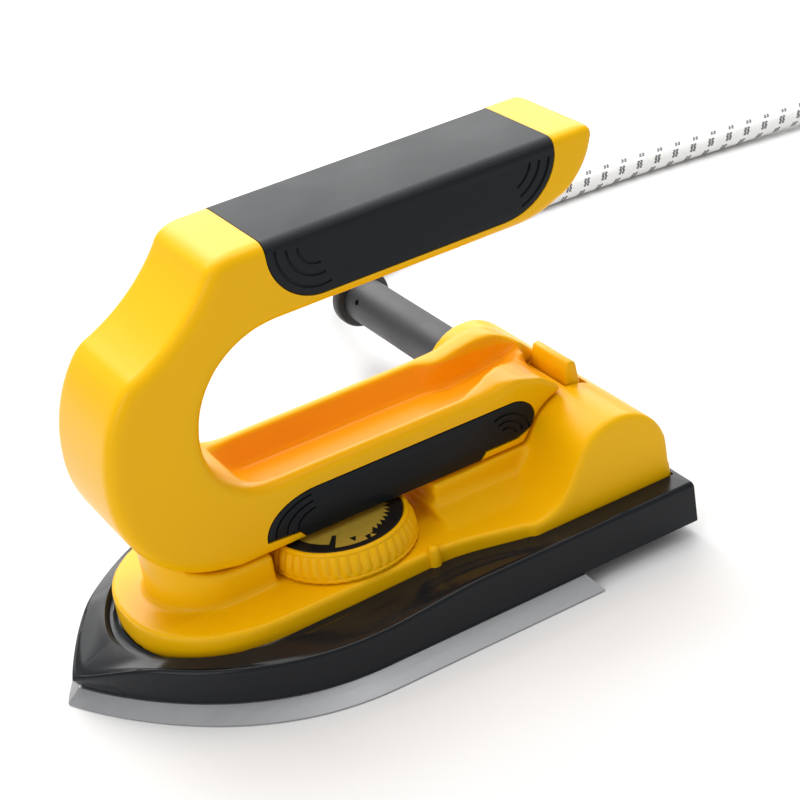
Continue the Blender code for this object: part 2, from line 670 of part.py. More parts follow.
def trough_mesh():
    """Finger trough along the lower bar: sloped walls, a scooped front, a closing rear."""
    sections = [(-27, -6.0, 6.0, -10.0, 10.0, 44.5), (-24, -8.0, 8.0, -12.0, 12.0, 40.6),
                (-19, -9.0, 9.0, -13.0, 13.0, 39.0), (35, -9.0, 9.0, -13.0, 13.0, 39.0),
                (40, -7.8, 7.2, -10.0, 9.0, 39.2), (50, -3.6, 7.0, -5.0, 8.2, 40.2),
                (58, -1.2, 6.0, -1.8, 7.0, 42.0), (63, -0.4, 3.0, -0.8, 4.0, 45.0)]
    bm = bmesh.new()
    rings = []
    for x, floor_near, floor_far, top_near, top_far, floor in sections:
        wide = 1 + (60 - floor) / 12
        points = [(x, floor_near, floor), (x, floor_far, floor), (x, top_far, LOWER_TOP + 0.4),
                  (x, top_far, 60), (x, top_near, 60), (x, top_near, LOWER_TOP + 0.4)]
        rings.append([bm.verts.new(p) for p in points])
    for first, second in zip(rings, rings[1:]):
        for i in range(6):
            j = (i + 1) % 6
            bm.faces.new((first[i], first[j], second[j], second[i]))
    bm.faces.new(rings[0])
    bm.faces.new(reversed(rings[-1]))
    return bm


def make_handle():
    """One moulding, hollow in the top bar, the front limb and under the trough."""
    mat = material("yellow_plastic", YELLOW, 0.28)
    half = HANDLE_WIDTH / 2
    body = rounded_handle(mat)
    near_top = [(42, 47.4), (50, 47.0), (57, 44.8), (62.2, 40.4), (62.2, 30), (80, 30), (80, 60), (42, 60)]
    cut(body, prism("near_slope", near_top, "y", -half - 5, 0.0 - GAP),
        add_object("trough_form", trough_mesh()))
    cut(body, prism("tab_clearance", [(62.2, 30), (80, 30), (80, 60), (62.2, 60)], "y", -2, TAB_RIGHT + 0.6))
    side = half - GRIP_SKIN - GAP
    seat_side = offset_outline(grip_outline(), GAP)
    seat_side = [(x, z + 4 if z > HANDLE_TOP else z) for x, z in seat_side]
    seat = prism("grip_seat", seat_side, "y", -half - 5, half + 5)
    cut(seat, box("bar_core", (GRIP_FRONT - 9, -side, HANDLE_TOP - 40),
                  (GRIP_REAR + 9, side, HANDLE_TOP - GRIP_SKIN - GAP)))
    cut(body, seat)
    side = half - PANEL_SKIN - GAP
    for name, low, high in (("left", -half - 5, -side), ("right", side, half + 5)):
        cut(body, prism("panel_seat_" + name, offset_outline(panel_outline(), GAP), "y", low, high))
    channel = half - GRIP_SKIN - HANDLE_WALL
    cut(body, box("bar_hollow", (GRIP_FRONT + 4, -channel, HANDLE_TOP - BAR_DEPTH + HANDLE_WALL),
                  (GRIP_REAR - 8, channel, HANDLE_TOP)))
    cut(body, prism("limb_hollow", limb_hollow(), "y", HANDLE_WALL - half, half + 5))
    cut(body, box("under_trough", (-20, HANDLE_WALL - half + 1.5, LOWER_BOTTOM + HANDLE_WALL),
                  (46, half + 1, TROUGH_FLOOR - HANDLE_WALL)))
    for x, z in LIMB_SCREWS:
        join(body, turned("limb_post", cylinder_profile(3.4, HANDLE_WIDTH - HANDLE_WALL - 4),
                          (x, HANDLE_WALL - half - 0.5, z), (0, 1, 0), 12))
        cut(body, turned("limb_post_hole", cylinder_profile(1.3 + GAP, 14), (x, half - 14, z), (0, 1, 0), 10))
    for x in HANDLE_SCREWS:
        join(body, turned("foot_boss", cylinder_profile(3.6, 6.2), (x, 0, LOWER_BOTTOM + 1.6), (0, 0, 1), 12))
        cut(body, turned("foot_hole", cylinder_profile(SCREW_R + GAP, 7.0), (x, 0, LOWER_BOTTOM - 1),
                         (0, 0, 1), 12))


def make_handle_cover():
    """Flush cover of the front limb on the far side, with its three screws."""
    mat = material("yellow_plastic", YELLOW, 0.28)
    half = HANDLE_WIDTH / 2
    cover = prism("handle_cover", offset_outline(limb_hollow(), limb_turn() * GAP), "y", half - 2.3, half, mat)
    steel = material("screw_steel", (0.45, 0.45, 0.45), 0.35, 1.0)
    for number, (x, z) in enumerate(LIMB_SCREWS, 1):
        cut(cover, turned("cover_hole", cylinder_profile(2.6 + GAP, 4), (x, half - 1.4, z), (0, 1, 0), 14))
        cut(cover, turned("cover_shank_hole", cylinder_profile(1.3 + GAP, 8), (x, half - 6, z), (0, 1, 0), 10))
        screw("cover_screw_" + str(number), (x, half - 0.2, z), (0, -1, 0), 1.3, 2.6, 9.0, steel, head=0.9)


def limb_turn():
    """Sign that makes offset_outline shrink the limb's outline, whichever way round it runs."""
    points = limb_hollow()
    area = sum(a[0] * b[1] - b[0] * a[1] for a, b in zip(points, points[1:] + points[:1]))
    return -1.0 if area > 0 else 1.0


def screw(name, place, axis, shank, head_r, length, mat, head=1.6):
    """Pan head with a straight slot, head first, then the shank along the axis."""
    profile = [(0, 0), (head_r - 0.4, 0), (head_r, 0.4), (head_r, head), (shank, head), (shank, length),
               (shank * 0.5, length + 0.6), (0, length + 0.6)]
    piece = turned(name, profile, place, axis, 12, mat)
    slot = prism_mesh([(-head_r * 1.2, -0.3), (head_r * 1.2, -0.3), (head_r * 1.2, 0.3), (-head_r * 1.2, 0.3)],
                      "z", -1.0, head * 0.4)
    turn = Vector((0, 0, 1)).rotation_difference(Vector(axis)).to_matrix().to_4x4()
    bmesh.ops.transform(slot, matrix=Matrix.Translation(place) @ turn, verts=slot.verts)
    cut(piece, add_object(name + "_slot", slot))
    return piece


def make_grip():
    """Soft saddle over the top bar: a top skin and two flanks."""
    rubber = material("black_rubber", (0.016, 0.017, 0.02), 0.55)
    half = HANDLE_WIDTH / 2
    grip = prism("grip", grip_outline(), "y", -half, half, rubber)
    mesh = grip.data
    weights = mesh.attributes.new("bevel_weight_edge", "FLOAT", "EDGE")
    for edge in mesh.edges:
        a, b = (mesh.vertices[v].co / MM for v in edge.vertices)
        if min(a.z, b.z) > HANDLE_TOP - 0.1 and abs(a.y - b.y) < 0.01:
            weights.data[edge.index].value = 1.0
    mod = grip.modifiers.new("rounding", "BEVEL")
    mod.width = HANDLE_ROUND * MM
    mod.segments = 2
    mod.limit_method = "WEIGHT"
    inside = half - GRIP_SKIN
    cut(grip, box("grip_inside", (GRIP_FRONT - 5, -inside, HANDLE_TOP - 40),
                  (GRIP_REAR + 5, inside, HANDLE_TOP - GRIP_SKIN)))


def make_panels():
    black = material("black_panel", (0.014, 0.015, 0.018), 0.4)
    half = HANDLE_WIDTH / 2
    prism("side_panel_left", panel_outline(), "y", -half, PANEL_SKIN - half, black)
    prism("side_panel_right", panel_outline(), "y", half - PANEL_SKIN, half, black)


def make_tab():
    """Upright thumb tab behind the handle's left rear, on a pin inside the barrel."""
    mat = material("yellow_plastic", YELLOW, 0.28)
    steel = material("pin_steel", (0.5, 0.5, 0.5), 0.3, 1.0)
    front, back = TAB_FRONT, TAB_FRONT + TAB_THICK
    side = [(front + 0.2, TAB_PIN_Z - 2.6), (back + 1.4, TAB_PIN_Z - 2.6), (back + 1.4, TAB_PIN_Z + 2.0),
            (back + 0.6, TAB_TOP - 1.0), (back - 0.4, TAB_TOP), (back - 1.6, TAB_TOP), (front, TAB_TOP - 5.0)]
    tab = prism("release_tab", side, "y", TAB_LEFT, TAB_RIGHT, mat)
    pin_x = front + 2.5
    cut(tab, turned("tab_bore", cylinder_profile(1.0 + GAP, 40), (pin_x, TAB_LEFT - 10, TAB_PIN_Z),
                    (0, 1, 0), 12))
    turned("tab_pin", cylinder_profile(1.0, TAB_RIGHT - TAB_LEFT + 5, 0.2), (pin_x, TAB_LEFT - 2.5, TAB_PIN_Z),
           (0, 1, 0), 12, steel)


# ---------- rear compartment ----------

def make_rear_cover():
    """Floor of the rear compartment with the pillar of the cord clamp and the housing screws."""
    black = material("black_phenolic", BLACK, 0.12)
    inner = SKIRT_HALF - SKIRT_WALL - GAP
    cover = box("rear_cover", (PLATE_REAR + 0.8, -inner, COVER_BOTTOM),
                (SKIRT_REAR - SKIRT_WALL - GAP, inner, COVER_TOP), black)
    pillar_top = BARREL_Z - CORD_R - GAP
    join(cover, box("clamp_pillar", (BARREL_X - CLAMP_HALF, CLAMP_Y, COVER_TOP - 1),
                    (BARREL_X + CLAMP_HALF, CLAMP_Y + CLAMP_WIDE, pillar_top)))
    steel = material("screw_steel", (0.45, 0.45, 0.45), 0.35, 1.0)
    for name, y in (("housing_screw_left", POST_PLACES[0]), ("housing_screw_right", POST_PLACES[1])):
        cut(cover, turned("cover_well", cylinder_profile(SCREW_R + GAP, 6), (POST_X, y, 2.0), (0, 0, 1), 12))
        screw(name, (POST_X, y, COVER_BOTTOM - GAP - 1.6), (0, 0, 1), SCREW_R, SCREW_HEAD_R, 11.5, steel)
    for side in (-1, 1):
        x = BARREL_X + side * CLAMP_SCREW
        cut(cover, turned("clamp_well", cylinder_profile(1.0 + GAP, 9),
                          (x, CLAMP_Y + CLAMP_WIDE / 2, pillar_top - 7), (0, 0, 1), 10))


def make_cord_clamp():
    """Arched strap over the lead, held down by two small screws."""
    black = material("black_panel", (0.014, 0.015, 0.018), 0.4)
    steel = material("screw_steel", (0.45, 0.45, 0.45), 0.35, 1.0)
    foot = BARREL_Z - CORD_R
    strap = box("cord_clamp", (BARREL_X - CLAMP_HALF, CLAMP_Y, foot),
                (BARREL_X + CLAMP_HALF, CLAMP_Y + CLAMP_WIDE, BARREL_Z + 6.0), black)
    cut(strap, turned("lead_bore", cylinder_profile(CORD_R + GAP, 20), (BARREL_X, CLAMP_Y - 5, BARREL_Z),
                      (0, 1, 0), 16))
    for name, side in (("clamp_screw_front", -1), ("clamp_screw_rear", 1)):
        place = (BARREL_X + side * CLAMP_SCREW, CLAMP_Y + CLAMP_WIDE / 2, foot - 8)
        cut(strap, turned(name + "_hole", cylinder_profile(1.0 + GAP, 30), place, (0, 0, 1), 10))
        top = (place[0], place[1], BARREL_Z + 6.0 + GAP + 1.2)
        screw(name, top, (0, 0, -1), 1.0, 1.9, 14.0, steel, head=1.2)


def make_terminals():
    """Ceramic three-way block with its clamping screws."""
    ceramic = material("ceramic", (0.80, 0.78, 0.72), 0.6)
    brass = material("brass", (0.62, 0.43, 0.14), 0.35, 1.0)
    low = COVER_TOP + GAP
    block = box("terminal_block", (49.5, -14, low), (57.5, 14, low + 8), ceramic)
    for number, y in enumerate(TERMINAL_ROWS, 1):
        cut(block, turned("wire_way", cylinder_profile(LEAD_R + GAP, 20), (44, y, low + 3.2), (1, 0, 0), 10))
        cut(block, turned("screw_well", cylinder_profile(1.5 + GAP, 8), (53.5, y, low + 5.0), (0, 0, 1), 10))
        screw("terminal_screw_" + str(number), (53.5, y, low + 8.6), (0, 0, -1), 1.2, 1.5, 2.9, brass, head=1.0)


def make_leads():
    """Inner wires from the lead's end to the block and on to the control, the heater and earth."""
    low = COVER_TOP + GAP + 3.2
    colours = {"live": (0.25, 0.10, 0.04), "neutral": (0.05, 0.16, 0.5), "earth": (0.15, 0.45, 0.08)}
    ends = {"live": (-9.0, (0.0, 1.6)), "neutral": (0.0, (-1.5, -1.0)), "earth": (9.0, (1.5, -1.0))}
    for name, (row, (dx, dz)) in ends.items():
        mat = material("wire_" + name, colours[name], 0.6)
        start = (BARREL_X + dx, CORD_INNER_END - GAP, BARREL_Z + dz)
        route = [start, (BARREL_X + dx, 14 - abs(row) * 0.25, BARREL_Z + dz - 0.6),
                 (BARREL_X + dx * 1.4, row * 0.8 + 2.5, 18 + dz), (62, row, 12.2), (58, row, low),
                 (54.6, row, low)]
        tube("lead_" + name, smooth_curve(route, 3), LEAD_R, mat)
    live = [(52.4, -9, low), (48, -9, low), (42, -9.5, 12), (30, -10.5, 14.6), (18, -11, 14.9), (7.2, -11.3, 14.6)]
    neutral = [(52.4, 0, low), (48, 0.5, low), (43, 5, 13), (40, 9, 15), (36, 12, 15.5)]
    earth = [(52.4, 9, low), (48, 9, low), (41, 8, 10.4), (34, 6.5, 9.6), (25.8, 6, 9.4)]
    tube("lead_control", smooth_curve(live, 3), LEAD_R, material("wire_live", colours["live"], 0.6))
    tube("lead_heater", smooth_curve(neutral, 3), LEAD_R, material("wire_neutral", colours["neutral"], 0.6))
    tube("lead_plate_earth", smooth_curve(earth, 3), LEAD_R, material("wire_earth", colours["earth"], 0.6))
    steel = material("zinc_sheet", (0.50, 0.50, 0.49), 0.4, 1.0)
    base = PLATE_CORE_TOP + GAP
    box("earth_tag", (17, 3, base), (25, 9, base + 1.0), steel)
    glass = material("fuse_sleeve", (0.75, 0.72, 0.60), 0.7)
    turned("thermal_fuse", cylinder_profile(1.9, 13, 0.4), (21, 12.5, 15.0), (1, 0, 0), 12, glass)


# ---------- cord sleeve, lead, coil and plug ----------

def make_sleeve():
    """Stiff tube that turns in the barrel's bush; a collar ends it and a flange keeps it in."""
    rubber = material("black_sleeve", (0.02, 0.02, 0.022), 0.45)
    start = HOUSING_REAR_HALF - 5.2
    bore = SLEEVE_BORE_R
    end = SLEEVE_END - start
    profile = [(bore, 0), (FLANGE_R, 0), (FLANGE_R, 2.6), (SLEEVE_R, 2.6), (SLEEVE_R, end - GAP), (bore, end - GAP)]
    sleeve = turned("cord_sleeve", profile, (BARREL_X, start, BARREL_Z), (0, 1, 0), 24, rubber)
    dimple = turned("sleeve_dimple", cylinder_profile(0.9, 6), (BARREL_X - 8.5, SLEEVE_END - 7.5, BARREL_Z + 5.0),
                    (0.85, 0, -0.5), 10)
    cut(sleeve, dimple)
    set_origin(sleeve, (BARREL_X, start, BARREL_Z))
    collar = [(bore, 0), (COLLAR_R - 0.8, 0), (COLLAR_R, 0.8), (COLLAR_R, COLLAR_LENGTH - 0.8),
              (COLLAR_R - 0.8, COLLAR_LENGTH), (bore, COLLAR_LENGTH)]
    turned("sleeve_collar", collar, (BARREL_X, SLEEVE_END, BARREL_Z), (0, 1, 0), 24, rubber)
    bush = [(SLEEVE_R + GAP, 0), (BUSH_R, 0), (BUSH_R, 1.7), (SLEEVE_R + GAP, 1.7)]
    nylon = material("nylon_bush", (0.06, 0.06, 0.06), 0.5)
    turned("sleeve_bush", bush, (BARREL_X, HOUSING_REAR_HALF - 1.8, BARREL_Z), (0, 1, 0), 24, nylon)


# the free lead's route: out of the sleeve, down to the floor, round behind the iron to the coil
LEAD_ROUTE = [(64.6, 104.8, 24.4), (64.7, 112.0, 24.0), (65.2, 121.0, 22.6), (67.0, 131.0, 19.6),
              (71.0, 141.0, 15.4), (78.0, 150.5, 10.9), (88.0, 157.5, 7.0), (100.0, 161.8, 4.8),
              (114.0, 164.0, 4.0), (132.0, 164.6, 3.8), (155.0, 164.5, 3.8), (180.0, 163.4, 3.8),
              (205.0, 161.5, 3.8), (228.0, 158.5, 3.8), (250.0, 155.0, 4.1), (272.0, 151.6, 4.6),
              (286.0, 149.9, 4.9), (COIL_X - 28.6, COIL_Y + 50.5, 4.95)]
TAIL_ROUTE = [(COIL_X + 50.5, COIL_Y - 28.6, 12.45), (374.5, 63.1, 12.5), (372.6, 51.1, 12.6),
              (367.0, 41.1, 12.8), (359.0, 33.7, 13.0), (350.0, 29.5, 13.0), (344.6, 28.3, 13.0),
              (PLUG_X + GAP, PLUG_Y, 13.0)]


def make_lead():
    braid = material("white_braid", (0.85, 0.85, 0.83), 0.8)
    tube("lead_in_sleeve", [(BARREL_X, CORD_INNER_END, BARREL_Z), (BARREL_X, 60, BARREL_Z),
                            (BARREL_X, EXIT_Y, BARREL_Z)], CORD_R, braid)
    tube("cord", smooth_curve(LEAD_ROUTE, 2), CORD_R, braid)
    tube("cord_tail", smooth_curve(TAIL_ROUTE, 1), CORD_R, braid)
    low = COIL_LIFT
    high = COIL_LIFT + 4 * CORD_R
    inner = COIL_MID_R - COIL_ROWS * CORD_R
    outer = COIL_MID_R + COIL_ROWS * CORD_R
    soft = 2.2
    ring = [(inner + soft, low), (outer - soft, low), (outer, low + soft), (outer, high - soft),
            (outer - soft, high), (inner + soft, high), (inner, high - soft), (inner, low + soft)]
    turned("cord_coil", ring, (COIL_X, COIL_Y, 0), (0, 0, 1), 32, braid)
    tie = material("black_tie", (0.02, 0.02, 0.02), 0.7)
    gap = 0.35
    near = inner - 1.0
    outer_loop = [(outer + gap + 1.0, 0.1), (outer + gap + 1.0, high + gap + 1.0),
                  (near - 1.0, high + gap + 1.0), (near - 1.0, 0.1)]
    inner_loop = [(outer + gap, low - gap), (outer + gap, high + gap), (near, high + gap), (near, low - gap)]
    loop = prism("cord_tie", [(COIL_X + r, z) for r, z in outer_loop], "y", COIL_Y - 5, COIL_Y + 5, tie)
    cut(loop, prism("tie_window", [(COIL_X + r, z) for r, z in inner_loop], "y", COIL_Y - 8, COIL_Y + 8))


def make_plug():
    """Moulded plug on its flat side: two blades and a round earth pin point towards -X."""
    black = material("black_panel", (0.014, 0.015, 0.018), 0.4)
    brass = material("plug_nickel", (0.55, 0.54, 0.50), 0.3, 1.0)
    face = PLUG_X - PLUG_LENGTH
    z = PLUG_HEIGHT / 2
    levels = []
    for x, wide, tall in ((face, 1.0, 1.0), (face + 12, 1.0, 1.0), (face + 26, 0.72, 0.86), (PLUG_X, 0.42, 0.62)):
        half_w, half_t = PLUG_WIDTH / 2 * wide, PLUG_HEIGHT / 2 * tall
        c = 3.0 * wide
        ring = [(half_w, half_t - c), (half_w - c, half_t), (c - half_w, half_t), (-half_w, half_t - c),
                (-half_w, c - half_t), (c - half_w, -half_t), (half_w - c, -half_t), (half_w, c - half_t)]
        levels.append([(x, PLUG_Y + a, z + b) for a, b in ring])
    add_object("plug_body", stack_rings(levels), black)
    for name, y in (("plug_blade_left", -6.35), ("plug_blade_right", 6.35)):
        box(name, (face - GAP - 17, PLUG_Y + y - 0.8, z - 1), (face - GAP, PLUG_Y + y + 0.8, z + 5.3), brass)
    turned("plug_earth_pin", cylinder_profile(2.4, 20, 0.6), (face - GAP, PLUG_Y, z - 6.5), (-1, 0, 0), 14, brass)


def make_screws():
    """Screws that hold the skirt to the plate and the handle to the housing."""
    steel = material("screw_steel", (0.45, 0.45, 0.45), 0.35, 1.0)
    for number, (x, y) in enumerate(LUGS, 1):
        screw("skirt_screw_" + str(number), (x, y, LUG_TOP + GAP + 1.6), (0, 0, -1), SCREW_R, SCREW_HEAD_R,
              10.0, steel)
    for name, x in zip(("handle_screw_front", "handle_screw_rear"), HANDLE_SCREWS):
        screw(name, (x, 0, ISLAND_TOP - HOUSING_WALL - GAP - 1.6), (0, 0, 1), SCREW_R, SCREW_HEAD_R, 8.4, steel)


def build():
    clear_scene()
    make_soleplate()
    make_element()
    make_pressure_plate()
    make_heat_control()
    make_dial()
    make_skirt()
    make_housing()
    make_handle()
    make_handle_cover()
    make_grip()
    make_panels()
    make_tab()
    make_rear_cover()
    make_cord_clamp()
    make_terminals()
    make_leads()
    make_sleeve()
    make_lead()
    make_plug()
    make_screws()


build()
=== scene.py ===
"""The looks of a compact clothes iron, built in the frame of its packed working model.

Lengths in the sections are millimetres and become metres as each piece is finished. +Z is up from
the sole, -X is the nose, -Y the user's left side.
"""

import math

import bmesh
import bpy
from mathutils import Matrix, Vector


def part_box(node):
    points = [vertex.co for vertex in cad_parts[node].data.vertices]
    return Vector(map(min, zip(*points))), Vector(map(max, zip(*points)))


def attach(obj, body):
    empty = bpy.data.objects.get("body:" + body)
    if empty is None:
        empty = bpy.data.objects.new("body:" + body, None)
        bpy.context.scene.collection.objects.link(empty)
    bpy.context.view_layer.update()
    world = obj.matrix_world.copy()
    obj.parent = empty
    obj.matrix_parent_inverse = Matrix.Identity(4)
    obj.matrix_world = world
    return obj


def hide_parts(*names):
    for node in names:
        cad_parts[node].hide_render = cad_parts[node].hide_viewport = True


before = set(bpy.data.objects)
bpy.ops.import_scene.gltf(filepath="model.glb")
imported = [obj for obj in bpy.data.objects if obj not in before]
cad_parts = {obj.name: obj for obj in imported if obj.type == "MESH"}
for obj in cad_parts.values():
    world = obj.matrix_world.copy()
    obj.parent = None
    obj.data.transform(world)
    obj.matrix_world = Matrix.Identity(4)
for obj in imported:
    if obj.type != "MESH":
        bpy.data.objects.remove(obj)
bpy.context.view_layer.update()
scene = bpy.context.scene


# ---- Camera ----
# A long lens on the iron's left front, a little above it, tipped so that the iron climbs to the right.

CAMERA_PLACE = Vector((-0.1748, -0.4248, 0.2957))
CAMERA_AZIMUTH = math.radians(-25.05)
CAMERA_ELEVATION = math.radians(28.12)
CAMERA_ROLL = math.radians(-10.02)

camera_data = bpy.data.cameras.new("camera")
camera_data.lens = 92.59
camera_data.sensor_width = 36.0
camera_data.clip_start = 0.01
camera = bpy.data.objects.new("camera", camera_data)
camera.matrix_world = (Matrix.Translation(CAMERA_PLACE) @ Matrix.Rotation(CAMERA_AZIMUTH, 4, "Z")
                       @ Matrix.Rotation(math.pi / 2 - CAMERA_ELEVATION, 4, "X")
                       @ Matrix.Rotation(CAMERA_ROLL, 4, "Z"))
scene.collection.objects.link(camera)
scene.camera = camera


# ---- Studio ----
# A pale sweep of floor, an even white surround and four broad soft lamps.

scene.view_settings.view_transform = "Standard"

floor_mesh = bmesh.new()
bmesh.ops.create_grid(floor_mesh, x_segments=1, y_segments=1, size=3.0)
floor_data = bpy.data.meshes.new("floor")
floor_mesh.to_mesh(floor_data)
floor_mesh.free()
floor = bpy.data.objects.new("floor", floor_data)
scene.collection.objects.link(floor)
paper = bpy.data.materials.new("floor_paper")
paper.use_nodes = True
paper_shader = paper.node_tree.nodes["Principled BSDF"]
paper_shader.inputs["Base Color"].default_value = (0.78, 0.78, 0.78, 1)
paper_shader.inputs["Roughness"].default_value = 0.9
floor_data.materials.append(paper)

surround = bpy.data.worlds.new("surround")
surround.use_nodes = True
white_sky = surround.node_tree.nodes["Background"]
white_sky.inputs["Color"].default_value = (1, 1, 1, 1)
white_sky.inputs["Strength"].default_value = 0.50
scene.world = surround


def soft_lamp(name, place, aim, size, power):
    lamp_data = bpy.data.lights.new(name, "AREA")
    lamp_data.shape = "RECTANGLE"
    lamp_data.size, lamp_data.size_y = size
    lamp_data.energy = power
    lamp = bpy.data.objects.new(name, lamp_data)
    lamp.location = place
    lamp.rotation_euler = (Vector(aim) - Vector(place)).to_track_quat("-Z", "Y").to_euler()
    scene.collection.objects.link(lamp)


soft_lamp("overhead_lamp", (0.15, 0.25, 1.2), (0, 0, 0.03), (0.9, 0.9), 10.5)
soft_lamp("nose_lamp", (-0.08, 0.70, 0.78), (-0.05, 0, 0.02), (0.6, 0.5), 3.6)
soft_lamp("left_lamp", (-0.9, -0.35, 0.55), (0, 0, 0.05), (0.5, 0.7), 2.6)
soft_lamp("rear_lamp", (0.55, 1.15, 0.68), (0, 0, 0.05), (1.4, 0.8), 12.0)


# ---- Lead ----
# 1.8 m of rubber flex in a white cotton braid with pairs of grey flecks. It leaves the sleeve, drops
# to the floor and runs off behind the iron to a wound coil, whose last turn ends in the plug.

MM = 0.001
LEAD_R = 3.75
LEAD_SIDES = 20
COIL_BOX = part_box("cord_coil")
COIL_CENTRE = (COIL_BOX[0] + COIL_BOX[1]) / 2 / MM
COIL_FLOOR = COIL_BOX[0].z / MM + LEAD_R
COIL_OUTER = 50.5
COIL_TURNS = 5.25
COIL_STEPS = 36
FLEX_STEP = 2 * LEAD_R
STEP_TURN = 0.11
INWARD_ENDS = (1.0, 2.0)
CLIMB_START = 2.78
OUTWARD_STARTS = (3.67, 4.67)
FLECK_ROWS = 6.0
ROW_WIDTH = 3.93
ROW_STAGGER = 0.36
FLECK_PITCH = 7.4
FLECK_APART = 0.60
FLECK_HALF = 0.47
FLECK_REACH = 1.35
FLECK_LEAN = -0.42
FLECK_JAG = 0.20
THREAD_TURNS = 16.0
THREADS_PER_MM = 1.45

LEAD_ROUTE = [(0.0646, 0.1048, 0.0244), (0.0647, 0.112, 0.024), (0.0652, 0.121, 0.0226),
              (0.067, 0.131, 0.0196), (0.071, 0.141, 0.0154), (0.078, 0.1505, 0.0109),
              (0.088, 0.1575, 0.007), (0.1, 0.1618, 0.0048), (0.114, 0.164, 0.004),
              (0.132, 0.1646, 0.0038), (0.155, 0.1645, 0.0038), (0.18, 0.1634, 0.0038),
              (0.205, 0.1615, 0.0038), (0.228, 0.1585, 0.0038), (0.25, 0.155, 0.0041),
              (0.272, 0.1516, 0.0046), (0.286, 0.1499, 0.0049), (0.2954, 0.1496, 0.00495)]
COIL_RUN_IN = (305.0, 315.0, 324.0)
COIL_RUN_OUT = [(0.3745, 0.09, 0.01245), (0.3745, 0.08, 0.01245)]
TAIL_ROUTE = [(0.3745, 0.0705, 0.01245), (0.3745, 0.0631, 0.0125), (0.3726, 0.0511, 0.0126),
              (0.367, 0.0411, 0.0128), (0.359, 0.0337, 0.013), (0.35, 0.0295, 0.013),
              (0.3446, 0.0283, 0.013), (0.3403, 0.0281, 0.013)]


def box_in_mm(node):
    return [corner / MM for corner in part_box(node)]


def eased(value, start, end):
    t = min(1.0, max(0.0, (value - start) / (end - start)))
    return t * t * (3 - 2 * t)


def coil_turns():
    """Three turns inwards on the floor, a step up, then outwards on top of them."""
    points = []
    for i in range(1, int(COIL_TURNS * COIL_STEPS) + 1):
        t = i / COIL_STEPS
        inwards = sum(eased(t, end - STEP_TURN, end) for end in INWARD_ENDS)
        outwards = sum(eased(t, start, start + STEP_TURN) for start in OUTWARD_STARTS)
        reach = COIL_OUTER - FLEX_STEP * (inwards - outwards)
        height = COIL_FLOOR + FLEX_STEP * eased(t, CLIMB_START, CLIMB_START + STEP_TURN)
        angle = math.radians(90 - 360 * t)
        points.append(Vector((COIL_CENTRE.x + reach * math.cos(angle),
                              COIL_CENTRE.y + reach * math.sin(angle), height)))
    return points


def eased_route(points, per_span):
    """A smooth line through the points of a route."""
    path = [points[0] * 2 - points[1]] + points + [points[-1] * 2 - points[-2]]
    result = []
    for i in range(1, len(path) - 2):
        a, b, c, d = path[i - 1:i + 3]
        for k in range(per_span):
            t = k / per_span
            result.append(0.5 * (2 * b + (c - a) * t + (2 * a - 5 * b + 4 * c - d) * t * t
                                 + (3 * b - a - 3 * c + d) * t ** 3))
    return result + [path[-2]]


def link_nodes(tree, *chain):
    """Adds a chain of maths nodes: each step is (operation, second value) on the last one's output."""
    socket = chain[0]
    for operation, value in chain[1:]:
        node = tree.nodes.new("ShaderNodeMath")
        node.operation = operation
        tree.links.new(socket, node.inputs[0])
        if isinstance(value, (int, float)):
            node.inputs[1].default_value = value
        elif value is not None:
            tree.links.new(value, node.inputs[1])
        socket = node.outputs[0]
    return socket


def set_inputs(tree, node, **inputs):
    """Gives each named input a value or another node's output; an underscore stands for a space."""
    for name, value in inputs.items():
        socket = node.inputs[name.replace("_", " ")]
        if isinstance(value, bpy.types.NodeSocket):
            tree.links.new(value, socket)
        else:
            socket.default_value = value
    return node


def add_node(tree, kind, **inputs):
    return set_inputs(tree, tree.nodes.new("ShaderNode" + kind), **inputs)


def object_place(tree):
    return tree.nodes.new("ShaderNodeTexCoord").outputs["Object"]


def new_material(name):
    mat = bpy.data.materials.new(name)
    mat.use_nodes = True
    return mat, mat.node_tree, mat.node_tree.nodes["Principled BSDF"]


